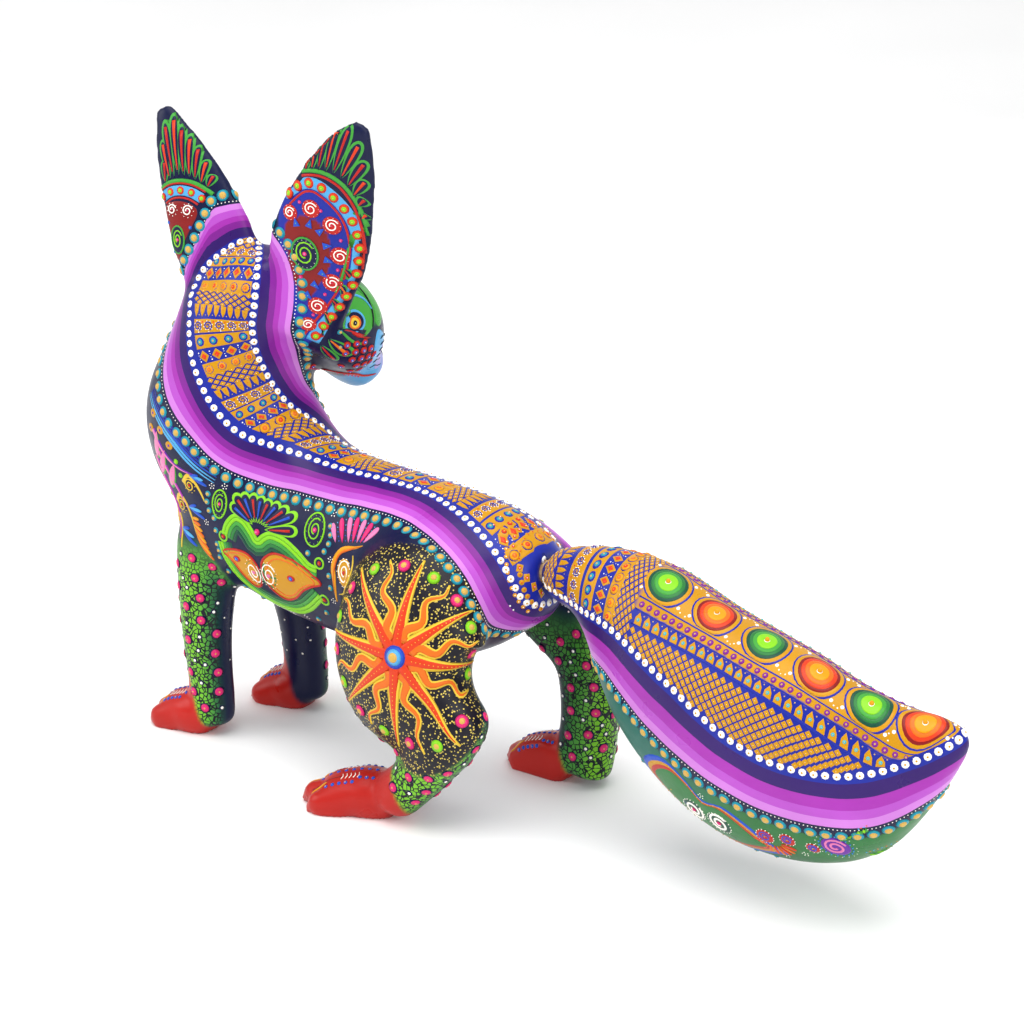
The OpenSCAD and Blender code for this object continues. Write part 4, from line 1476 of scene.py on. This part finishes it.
def shoulder(z):
    crescent = curve([(-153, 131), (-148, 126.5), (-142, 121.5), (-136, 117), (-130, 112.2), (-124.5, 108.6),
                      (-119.5, 106)], 4)
    for i, colour in enumerate(("sky", "sky", "blue", "ultramarine", "ultramarine")):
        ribbon(z, offset(crescent, 1.25 * i - 2.5), 1.5, colour, 0.16 + 0.01 * i, taper=0.5)
    # flames
    for line, colour in (([(-150, 118), (-146, 113), (-141, 109), (-135, 106.5), (-128.5, 105.5)], "violet"),
                         ([(-149, 114), (-145, 107), (-141, 101), (-137.5, 96), (-134.5, 91)], "magenta"),
                         ([(-150, 108), (-147, 100), (-143.5, 92), (-141.5, 85), (-140.5, 78)], "magenta")):
        c = curve(line, 4)
        ribbon(z, c, (3.8, 0.6), colour, 0.3)
        ribbon(z, c[:-2], (1.8, 0.3), "pink", 0.2, 0.26)
    for root, tip in (((-147.5, 118), (-148.5, 107)), ((-143, 112), (-147.5, 101)),
                      ((-138, 108), (-143, 97))):
        petal(z, root, tip, 4.6, "midgreen", 0.25)
        petal(z, root, lerp(np.array(root), np.array(tip), 0.9), 3.2, "pink", 0.25, 0.2)
        for t in (0.3, 0.5, 0.7):
            dot(z, *lerp(np.array(root), np.array(tip), t), (0.4, "red"), h=0.6)
    for u, v, r, tail in ((-131.5, 101, 3.0, (-125, 96)), (-138.3, 91.5, 3.2, (-131, 82)),
                          (-144, 84.5, 2.8, (-139, 75))):
        line = curve([(u - r, v + 0.5), (u, v + r + 0.8), (u + r + 0.8, v), tail], 5)
        ribbon(z, line, (2.6, 0.5), "yellow", 0.28)
        dotted_spiral(z, u, v, r * 0.8, 1.1, 0, "yellow", "navy", "red")
    for root, tips in (((-131, 105), ((-127, 105.5), (-125, 104), (-123.5, 102))),
                       ((-134, 92), ((-129.5, 93.5), (-127, 91.5), (-125.5, 89))),
                       ((-140, 82), ((-135, 83), (-132.5, 80), (-131, 77)))):
        for i, tip in enumerate(tips):
            petal(z, root, tip, 1.3, "sky" if i % 2 else "blue", 0.3)
    for i in range(8):
        t = i / 7
        petal(z, lerp(np.array((-133, 88.0)), np.array((-131, 81.0)), t),
              lerp(np.array((-129, 88.0)), np.array((-124.5, 72.5)), t),
              1.3, "orange" if i % 2 else "amber", 0.3)
    dots_at(z, ((-135.5, 104), (-141, 100), (-146.5, 93), (-137, 109)), (1.2, "lime"), (0.5, "yellow"))
    for u, v in ((-150, 124), (-145, 119), (-140, 114.5), (-152, 118)):
        blob(z, circle(u, v, 2.0, 12, 0, 0.8), "ochre", 0.25)
        dot(z, u, v, (0.7, "violet"), h=0.5)
    dots_at(z, ((-123.3, 99.3), (-124, 96.2), (-123.2, 93), (-120.5, 78)), (1.35, "teal"), (0.75, "gold"),
            h=0.45)


for name, way in (("left_side", 1), ("right_side", -1)):
    side_zone = Zone(name, skin, beside(way)).turned(-95, 80)
    flank(side_zone)
    shoulder(side_zone)

# ------------------------------------------------------------------ the backs of the ears
rear = Zone("ear_backs", skin, lambda u, v: skin.cast((u, -70, v), (0, 1, 0)))
rear.turned(-90, 200)


def on_ear_back(outline, grow):
    """1 for the points of the ears' backs inside an outline, seen from behind and grown about its middle."""
    o = outline.mean(0) + grow * (outline - outline.mean(0))
    inside = np.zeros(len(skin_v), bool)
    for a, b in zip(o, np.roll(o, -1, 0)):
        crosses = (a[1] > skin_v[:, 2]) != (b[1] > skin_v[:, 2])
        at = a[0] + (skin_v[:, 2] - a[1]) * (b[0] - a[0]) / (b[1] - a[1] if b[1] != a[1] else 1e-9)
        inside ^= crosses & (skin_v[:, 0] < at)
    return (inside & (skin_n[:, 1] < -0.1) & (skin_v[:, 1] < 16)).astype(float)


def feathers(z, root_line, tips, line, fill_in, width=4.0):
    for i, tip in enumerate(tips):
        root, tip = np.array(root_line[i], float), np.array(tip, float)
        tip = lerp(root, tip, 1.07)
        petal(z, root, tip, width, line, 0.2, 0, 0.72, 9)
        petal(z, root, lerp(root, tip, 0.94), width - 1.5, "navy", 0.18, 0.13, 0.72, 9)
        a, b = lerp(root, tip, 0.12), lerp(root, tip, 0.86)
        ribbon(z, [lerp(a, b, t) for t in np.linspace(0, 1, 6)], (0.5, 1.35), fill_in[i % len(fill_in)], 0.2,
               0.3)
        for t in np.linspace(0.1, 0.95, max(int(np.linalg.norm(b - a) / 1.8), 3)):
            dot(z, *lerp(a, b, t), (0.3, "gold"), h=0.58)


# right ear
tips = [(-88, 222.5), (-84.5, 228), (-80.5, 232.5), (-76, 235), (-71.5, 233.5), (-68.5, 228), (-67.5, 221.5),
        (-68, 215),
        (-69, 208.5), (-69.5, 203)]
roots = [(-88.5, 217.2), (-86, 217.4), (-83.5, 217.4), (-81, 217), (-78.5, 216.4), (-76, 215), (-74, 212.5),
         (-72.5, 209.5),
         (-71.5, 206), (-71, 201.5)]
feathers(rear, roots, tips, "midgreen", ("red", "redorange"), 4.7)
arc = curve([(-90.5, 216.8), (-87, 217.4), (-83, 217.3), (-79, 216), (-75, 213), (-72, 208), (-70.6, 203),
             (-70, 197),
             (-70.5, 190), (-71.8, 184), (-74, 177), (-77, 171)], 4)
ribbon(rear, arc, 1.6, "midgreen", 0.25, 0.1)
ribbon(rear, offset(arc, -1.5), 1.1, "red", 0.22, 0.05)
band_line = curve([(-97.5, 207), (-93.5, 210.5), (-89.5, 212.8), (-84.8, 212.8), (-80.4, 210),
                   (-76.8, 206.2), (-74.4, 201.8),
                   (-73.2, 196.5), (-73.2, 190.5), (-74.4, 185), (-76.4, 179), (-79.5, 173.5), (-83,
                           168.3), (-86.8, 163.6),
                   (-90.2, 159.5), (-93.5, 155)], 4)
ribbon(rear, band_line, 5.4, "sky", 0.16)
ribbon(rear, offset(band_line, -2.9), 0.9, "red", 0.22, 0.05)
dots_along(rear, band_line[2:-2], 4.9, (2.15, "deepred"), (1.9, "redorange"), (1.15, "lime"),
           (0.4, "yellow"), h=0.3)
ground = curve([(-98, 203), (-93.5, 206.5), (-87, 208.3), (-81.5, 205.5), (-78, 200.5), (-76.6, 194),
                (-77.2, 187), (-79.5, 180),
                (-83, 174), (-87, 168.5), (-91, 163), (-94.5, 158.5), (-95.5, 165), (-97, 173), (-98,
                        182), (-99, 192)], 4, True)
fill(area, on_ear_back(ground, 1.2), "ultramarine")
for u, v, r in ((-95.6, 202, 2.0), (-87.5, 204, 2.4), (-80.8, 198.5, 2.4), (-79.6, 187.5, 2.4),
                (-83.4, 177.5, 2.4),
                (-89.6, 168.5, 2.4), (-93.6, 161.5, 1.7)):
    blob(rear, circle(u, v, r + 0.9, 16), "red", 0.2, 0.12)
    ribbon(rear, coil(u, v, r, 1.5, 0.4, 0.25), 0.5, "white", 0.25, 0.3)
    dots_at(rear, circle(u, v, r + 0.45, int(r * 4.5)), (0.3, "white"), h=0.6)
    dot(rear, u, v, (0.55, "hotpink"), h=0.7)
dots_at(rear, ((-91.5, 206), (-84, 203.5), (-78.6, 193.2), (-81, 182.3), (-86.5, 173), (-91.6, 165)),
        (0.75, "hotpink"), (0.35, "pink"), h=0.45)
red_ground = curve([(-97, 198.5), (-91, 201), (-85.5, 199.5), (-82.4, 194), (-82.4, 187), (-85, 180.5),
                    (-89, 175), (-93, 170),
                    (-96, 175), (-98, 184), (-98.5, 192)], 4, True)
fill(area, on_ear_back(red_ground, 1.0), "deepred")
for u, v, a in ((-93.6, 198.6, 100), (-88.6, 198.6, 70), (-85, 196.2, 35), (-83.4, 191, 5),
                (-83.6, 185.6, -20), (-86, 180.6, -40),
                (-89.2, 176.2, -45), (-92.2, 172.2, -50)):
    c, s = math.cos(math.radians(a)), math.sin(math.radians(a))
    blob(rear, [(u + 1.9 * c, v + 1.9 * s), (u - 1.4 * c - 1.3 * s, v - 1.4 * s + 1.3 * c),
                (u - 1.4 * c + 1.3 * s, v - 1.4 * s - 1.3 * c)], "blue", 0.2, 0.2)
    dot(rear, u - 0.2 * c, v - 0.2 * s, (0.5, "lime"), h=0.7)
blob(rear, circle(-91.5, 187.6, 5.0, 22, 0, 1.25), "navy", 0.2, 0.2)
ring(rear, -91.5, 187.6, 4.6, 0.8, "midgreen", 24, 1.25, 0, 0.25, 0.3)
ribbon(rear, coil(-91.5, 187.6, 3.6, 1.7, 0.5, 0.3, 1.25), 0.75, "lime", 0.25, 0.32)
dots_at(rear, circle(-91.5, 187.6, 4.0, 16, 0.1, 1.25), (0.32, "white"), h=0.75)
dot(rear, -91.5, 187.6, (1.2, "hotpink"), (0.55, "pink"), h=0.65)
dot(rear, -94, 179, (0.9, "hotpink"), (0.4, "pink"), h=0.6)
low_tips = [(-68.5, 176), (-70, 168.5), (-73, 162), (-77, 156.5), (-81.5, 152), (-86, 148.5), (-90.5, 146.5)]
low_roots = [(-73.2, 180.5), (-75.6, 174.5), (-79, 169), (-82.6, 164), (-86, 159.5), (-89, 156),
             (-91.5, 153.5)]
feathers(rear, low_roots, low_tips, "midgreen", ("red", "orange"), 4.4)

# left ear
tips = [(-153, 212.5), (-154.5, 219), (-154.5, 225.5), (-152, 228), (-148.5, 224.5), (-145, 221.5),
        (-141.5, 218), (-138, 213.5),
        (-134.8, 208.8)]
roots = [(-152, 204.6), (-150, 206), (-148.4, 206.8), (-146.6, 207.4), (-144.6, 207.5), (-142.6, 207.2),
         (-140.6, 206.6),
         (-138.4, 205.6), (-136.2, 204.6)]
feathers(rear, roots, tips, "midgreen", ("red", "redorange"), 3.9)
arc = curve([(-154.3, 202.8), (-150.5, 205.3), (-146, 206.4), (-141, 206), (-136.5, 204), (-134, 202.4)], 4)
ribbon(rear, arc, 1.5, "midgreen", 0.25, 0.1)
band_line = curve([(-153.4, 199.8), (-150, 202), (-146, 203), (-141.6, 202.6), (-137.6, 200.8)], 4)
ribbon(rear, band_line, 4.6, "sky", 0.16)
ribbon(rear, offset(band_line, 2.5), 0.8, "red", 0.22, 0.05)
ribbon(rear, offset(band_line, -2.5), 0.8, "red", 0.22, 0.05)
dots_along(rear, band_line, 4.0, (1.75, "deepred"), (1.5, "redorange"), (0.9, "lime"), h=0.3)
blob(rear, curve([(-152.6, 196.5), (-147, 199.4), (-141, 198.6), (-138.6, 195.5), (-141.5, 189),
                  (-144, 183.5), (-145.4, 178),
                  (-148.5, 178.5), (-150.5, 187)], 4, True), "deepred", 0.15)
for u, v, r in ((-149, 196, 1.9), (-142.6, 196.2, 2.0)):
    ribbon(rear, coil(u, v, r, 1.5, 0.4, 0.25), 0.5, "white", 0.25, 0.2)
    dots_at(rear, circle(u, v, r + 0.4, 9), (0.3, "white"), h=0.5)
    dot(rear, u, v, (0.5, "hotpink"), h=0.6)
blob(rear, circle(-146.4, 185.5, 3.2, 20, 0, 1.7), "navy", 0.2, 0.1)
ring(rear, -146.4, 185.5, 2.9, 0.7, "midgreen", 22, 1.7, 0, 0.25, 0.2)
ribbon(rear, coil(-146.4, 185.5, 2.1, 1.6, 0.5, 0.3, 1.7), 0.65, "lime", 0.25, 0.2)
dot(rear, -146.4, 185.5, (0.9, "hotpink"), (0.4, "pink"), h=0.5)
dots_at(rear, ((-150.8, 191), (-141.2, 190.4), (-149.8, 180), (-143.4, 177), (-147, 173.5)), (0.8, "blue"),
        (0.4, "sky"), h=0.4)

# ------------------------------------------------------------------ the face
def cheek(z):
    blob(z, curve([(9, 170), (16, 172), (22, 169), (24.5, 163.5), (22, 157.5), (16, 154), (10, 155),
                   (7, 162)], 4, True),
         "midgreen", 0.14)
    blob(z, curve([(22, 171), (27, 169), (30, 164), (29.5, 158.5), (26, 156), (23.5, 158), (25.2, 163.5)], 4,
                  True),
         "midgreen", 0.2)
    blob(z, circle(13.4, 160.5, 4.9, 22, 0, 0.85), "sky", 0.16, 0.1)
    blob(z, circle(13.4, 160.5, 4.0, 22, 0, 0.82), "navy", 0.18, 0.18)
    blob(z, circle(13.2, 160.2, 2.7, 20, 0, 0.9), "orange", 0.2, 0.3)
    blob(z, circle(13.1, 160.1, 1.9, 18, 0, 0.95), "yellow", 0.2, 0.42)
    dot(z, 13.1, 160.0, (1.2, "black"), (0.3, "white"), h=0.3, base=0.55)
    ribbon(z, curve([(8.5, 160), (11, 166), (16.5, 168.6), (21.5, 166.5), (23.6, 162)], 4), 0.9, "sky", 0.22,
           0.3, taper=0.3)
    ribbon(z, curve([(21, 157), (23, 161), (24, 166), (23.2, 170)], 4), 0.8, "black", 0.22, 0.3, taper=0.3)
    blob(z, curve([(24, 155.5), (29, 153), (33, 148), (36.5, 143.5), (37, 138.5), (33, 136), (28, 139),
                   (24.5, 144), (22, 150)], 4,
                  True), "sky", 0.16)
    blob(z, curve([(30, 149.5), (34, 146), (37.4, 142), (37.6, 138), (34.5, 136.5), (32, 141)], 4, True),
         "lilac", 0.2, 0.06)
    for i in range(6):
        t = i / 5
        a = lerp(np.array((26.0, 151.5)), np.array((30.5, 138.2)), t)
        ribbon(z, curve([a, a + (2.4, 0.5), a + (4.8, -0.3), a + (7, -0.2)], 3), 0.45, "black", 0.2, 0.28,
               taper=0.3)
    for row_v, n in ((152.5, 3), (149.4, 4), (146.3, 4), (143.2, 4), (140.2, 3)):
        for i in range(n):
            u = 8.5 + (152.5 - row_v) * 0.55 + 3.3 * i + (1.6 if int(row_v * 10) % 2 else 0)
            if u < 25:
                dot(z, u, row_v, (1.75, "navy"), (1.5, "red"), (0.75, "blue"), (0.3, "white"), h=0.3)
    for t in np.linspace(0, 1, 12):
        q = lerp(np.array((14.0, 139.5)), np.array((29.0, 134.5)), t)
        dot(z, q[0], q[1], (0.6, "hotpink"), h=0.4)
    ribbon(z, curve([(20, 138), (26, 136.4), (31, 134.6), (36, 134.4)], 4), 0.8, "red", 0.25, 0.2, taper=0.3)
    dots_at(z, ((8, 152), (7, 158), (7.5, 166), (12, 171.5), (19, 173.5)), (1.3, "teal"), (0.7, "gold"),
            h=0.4)


right_cheek = Zone("face_right", skin, lambda u, v: skin.cast((-62, u, v), (-1, 0, 0))).turned(20, 158)
left_cheek = Zone("face_left", skin, lambda u, v: skin.cast((-165, u, v), (1, 0, 0))).turned(20, 158)
for cheek_zone in (right_cheek, left_cheek):
    cheek(cheek_zone)
nose_at, nose_n, nose_body = skin.cast((-101, 80, 137.5), (0, -1, 0))
stack("nose", nose_body, nose_at, nose_n, ((4.0, "black"), (1.0, "navy")), 1.5)

# ------------------------------------------------------------------ the underside of the tail
def tail_side(way):
    return lambda u, v: brush.cast((u, -8 - 90 * way, v), (0, way, -0.0))


def underside(z):
    leaf = curve([(60.5, 41), (65, 46), (72, 47.5), (79, 43), (84, 37.5), (91, 38), (98, 34), (104, 28),
                  (108, 24.5),
                  (101, 22), (93, 20.5), (85, 21), (77, 24), (70, 29), (64, 35)], 3, True)
    for grow, colour in ((1.16, "blue"), (1.08, "ochre"), (1.0, "red"), (0.92, "green")):
        shape = leaf.mean(0) + grow * (leaf - leaf.mean(0))
        blob(z, shape, colour, 0.16, 0.05 + 0.6 * (1.16 - grow))
    for t in np.linspace(0, 1, 40):
        q = leaf[int(t * (len(leaf) - 1))]
        q = leaf.mean(0) + 0.99 * (q - leaf.mean(0))
        dot(z, q[0], q[1], (0.4, "gold"), h=0.3, base=0.2)
    for u, v, hand in ((78.5, 31.5, -1), (88.5, 30, 1)):
        blob(z, circle(u, v, 4.6, 20), "darkgreen", 0.2, 0.22)
        ribbon(z, coil(u, v, 3.9, 1.7, 0.6, 0.25, 1.1, 0, 16, hand), 1.1, "white", 0.3, 0.34)
        dots_at(z, circle(u, v, 4.5, 20), (0.36, "white"), h=0.3, base=0.35)
        dot(z, u, v, (1.0, "hotpink"), (0.45, "pink"), h=0.4, base=0.4)
    for u, v, r in ((106, 31, 3.0), (114, 32, 2.6), (122, 30.5, 2.2), (70, 22, 2.2), (60, 30, 2.2)):
        blob(z, circle(u, v, r, 18), "red", 0.2, 0.05)
        ribbon(z, coil(u, v, r * 0.75, 1.5, 0.4, 0.3), 0.55, "blue", 0.25, 0.2)
        dots_at(z, circle(u, v, r, int(r * 5)), (0.32, "white"), h=0.42)
        dot(z, u, v, (0.6, "gold"), h=0.6)
    for i in range(9):
        a = math.radians(200 + 17 * i)
        root = np.array((108.0, 30.5)) + 3.4 * np.array((math.cos(a), math.sin(a)))
        petal(z, root, root + 5.0 * np.array((math.cos(a), math.sin(a))), 1.3,
              "orange" if i % 2 else "redorange", 0.3)
    blob(z, circle(129.5, 33, 4.4, 22), "violet", 0.2, 0.05)
    ribbon(z, coil(129.5, 33, 3.6, 1.8, 0.4, 0.2), 0.9, "pink", 0.3, 0.2)
    dots_at(z, circle(129.5, 33, 4.9, 18), (0.55, "blue"), (0.25, "sky"), h=0.3)
    dots_at(z, circle(129.5, 33, 6.0, 20), (0.36, "white"))
    for i in range(12):
        t = i / 11
        q = lerp(np.array((137.0, 29.0)), np.array((149.0, 35.0)), t)
        petal(z, q, q + (1.2, -3.0), 1.2, "midgreen" if i % 2 else "lime", 0.3)
        dot(z, q[0], q[1] + 1.4, (0.5, "orange" if i % 2 else "sky"))
    dots_at(z, ((96, 17.5), (104, 18), (86, 17), (78, 18.5), (62, 24), (55, 40)), (1.15, "teal"),
            (0.6, "gold"), h=0.35)
    flowers(z, ((84, 40), (118, 26), (98, 14.5), (110, 22), (57, 35)), 0.95)


for name, way in (("tail_left_side", 1), ("tail_right_side", -1)):
    underside(Zone(name, brush, tail_side(way)).turned(90, 35))

# an ochre collar of dots on the rump, round the root of the tail
from_root = np.hypot(skin_v[:, 1] - 4.2, skin_v[:, 2] - 89) + 40 * (skin_v[:, 0] < -8)
for r, layers in ((12.6, ((1.15, "ochre"), (0.5, "redorange"))), (15.3, ((0.9, "amber"), (0.35, "white"))),
                  (17.6, ((0.5, "white"),))):
    beads("collar", skin, from_root, r, 2.7 if r < 17 else 2.0, *layers, h=0.3,
          keep=lambda p: p[0] > -7 and p[2] > 78 and p[1] > -12 and p[1] < 20)

# ------------------------------------------------------------------ the carved pieces
body_mat = banded_skin("painted_wood", stripes, "ultramarine")
fields = {"band": band, "net": net, "speck": speck}
for k, name in enumerate(NAMES):
    slot = {"torso": "body_paint", "head": "head_paint"}.get(name,
            "ear_paint" if "ear" in name else "leg_paint")
    skin_piece(name + "_carved", skin_t[face_owner == k], skin_v, skin_n, fields, {"area": area},
               BODY_OF[name], slot, body_mat, name)
skin_piece("tail_carved", tail_t, tail_v, tail_n, tail_fields, {"area": tail_area}, BODY_OF["tail"],
           "tail_paint",
           tail_mat, "tail")

for (zone, body), paints in laid.items():
    vs, fs, index, mats, base = [], [], [], [], 0
    for k, (colour, (points, faces)) in enumerate(sorted(paints.items())):
        p = np.vstack(points)
        vs.append(p)
        fs.append(np.array(faces) + base)
        index += [k] * len(faces)
        mats.append(paint(colour))
        base += len(p)
    slot = "tail_paint" if body == BODY_OF["tail"] else "ear_paint" if "ear" in body else "body_paint"
    mesh_object(zone + "_on_" + body, np.vstack(vs), np.vstack(fs), body, mats, index)

bare = wood("copal_wood")
for name in RODS + ["tail_peg"]:
    me = frame["nodes"][name].data
    me.materials.clear()
    me.materials.append(bare)

# ------------------------------------------------------------------ floor, light and camera
def flat_colour(name, code, rough):
    mat, tree, shader, place = paint_nodes(name)
    tree.links.new(blend_colour(tree, noise(tree, place, 3, 2), linear(code), linear("#fdfdfd")),
                   shader.inputs["Base Color"])
    finish_coat(tree, shader, place, rough, rough + 0.1, 0.02)
    return mat


sweep = curve([(-3, 0), (-2, 0), (0, 0), (1, 0), (1.6, 0), (2.4, 0.25), (2.7, 1.1), (2.75, 3.2)], 10)
sweep[:31, 1] = 0
az, el = math.radians(VIEW_AZIMUTH), math.radians(VIEW_ELEVATION)
away = np.array([-math.sin(az), math.cos(az), 0])
across_view = np.array([math.cos(az), math.sin(az), 0])
floor_v, floor_f = [], []
for i, (d, h) in enumerate(sweep):
    for j, w in enumerate((-4, 4)):
        floor_v.append(d * away + w * across_view + np.array([0, 0, h]))
    if i:
        floor_f.append((2 * i - 2, 2 * i - 1, 2 * i + 1, 2 * i))
me = bpy.data.meshes.new("floor")
me.from_pydata([tuple(p) for p in floor_v], [], floor_f)
me.polygons.foreach_set("use_smooth", [True] * len(me.polygons))
floor = bpy.data.objects.new("floor", me)
me.materials.append(flat_colour("pale_floor", "#f6f6f6", 0.6))
scene.collection.objects.link(floor)

target = Vector((-22.7, 21.2, 100)) * MM
back = Vector((math.sin(az) * math.cos(el), -math.cos(az) * math.cos(el), math.sin(el)))
cam_data = bpy.data.cameras.new("view")
cam_data.lens = 88.9
cam_data.sensor_width = 36
camera = bpy.data.objects.new("view", cam_data)
camera.location = target + VIEW_DISTANCE * back
camera.rotation_euler = back.to_track_quat("Z", "Y").to_euler()
scene.collection.objects.link(camera)
scene.camera = camera


def lamp(name, place, size, power, look=(-0.02, 0.0, 0.1)):
    data = bpy.data.lights.new(name, "AREA")
    data.shape = "DISK"
    data.size = size
    data.energy = power
    ob = bpy.data.objects.new(name, data)
    ob.location = place
    ob.rotation_euler = (Vector(place) - Vector(look)).to_track_quat("Z", "Y").to_euler()
    scene.collection.objects.link(ob)


lamp("overhead", (0.1, -0.2, 1.6), 1.6, 22)
lamp("left_fill", (-1.2, -1.1, 0.9), 1.2, 12)
lamp("right_fill", (1.4, -0.6, 0.8), 1.2, 12)
world = bpy.data.worlds.new("studio")
world.use_nodes = True
world.node_tree.nodes["Background"].inputs["Color"].default_value = (1, 1, 1, 1)
world.node_tree.nodes["Background"].inputs["Strength"].default_value = 0.7
scene.world = world
scene.view_settings.view_transform = "Standard"
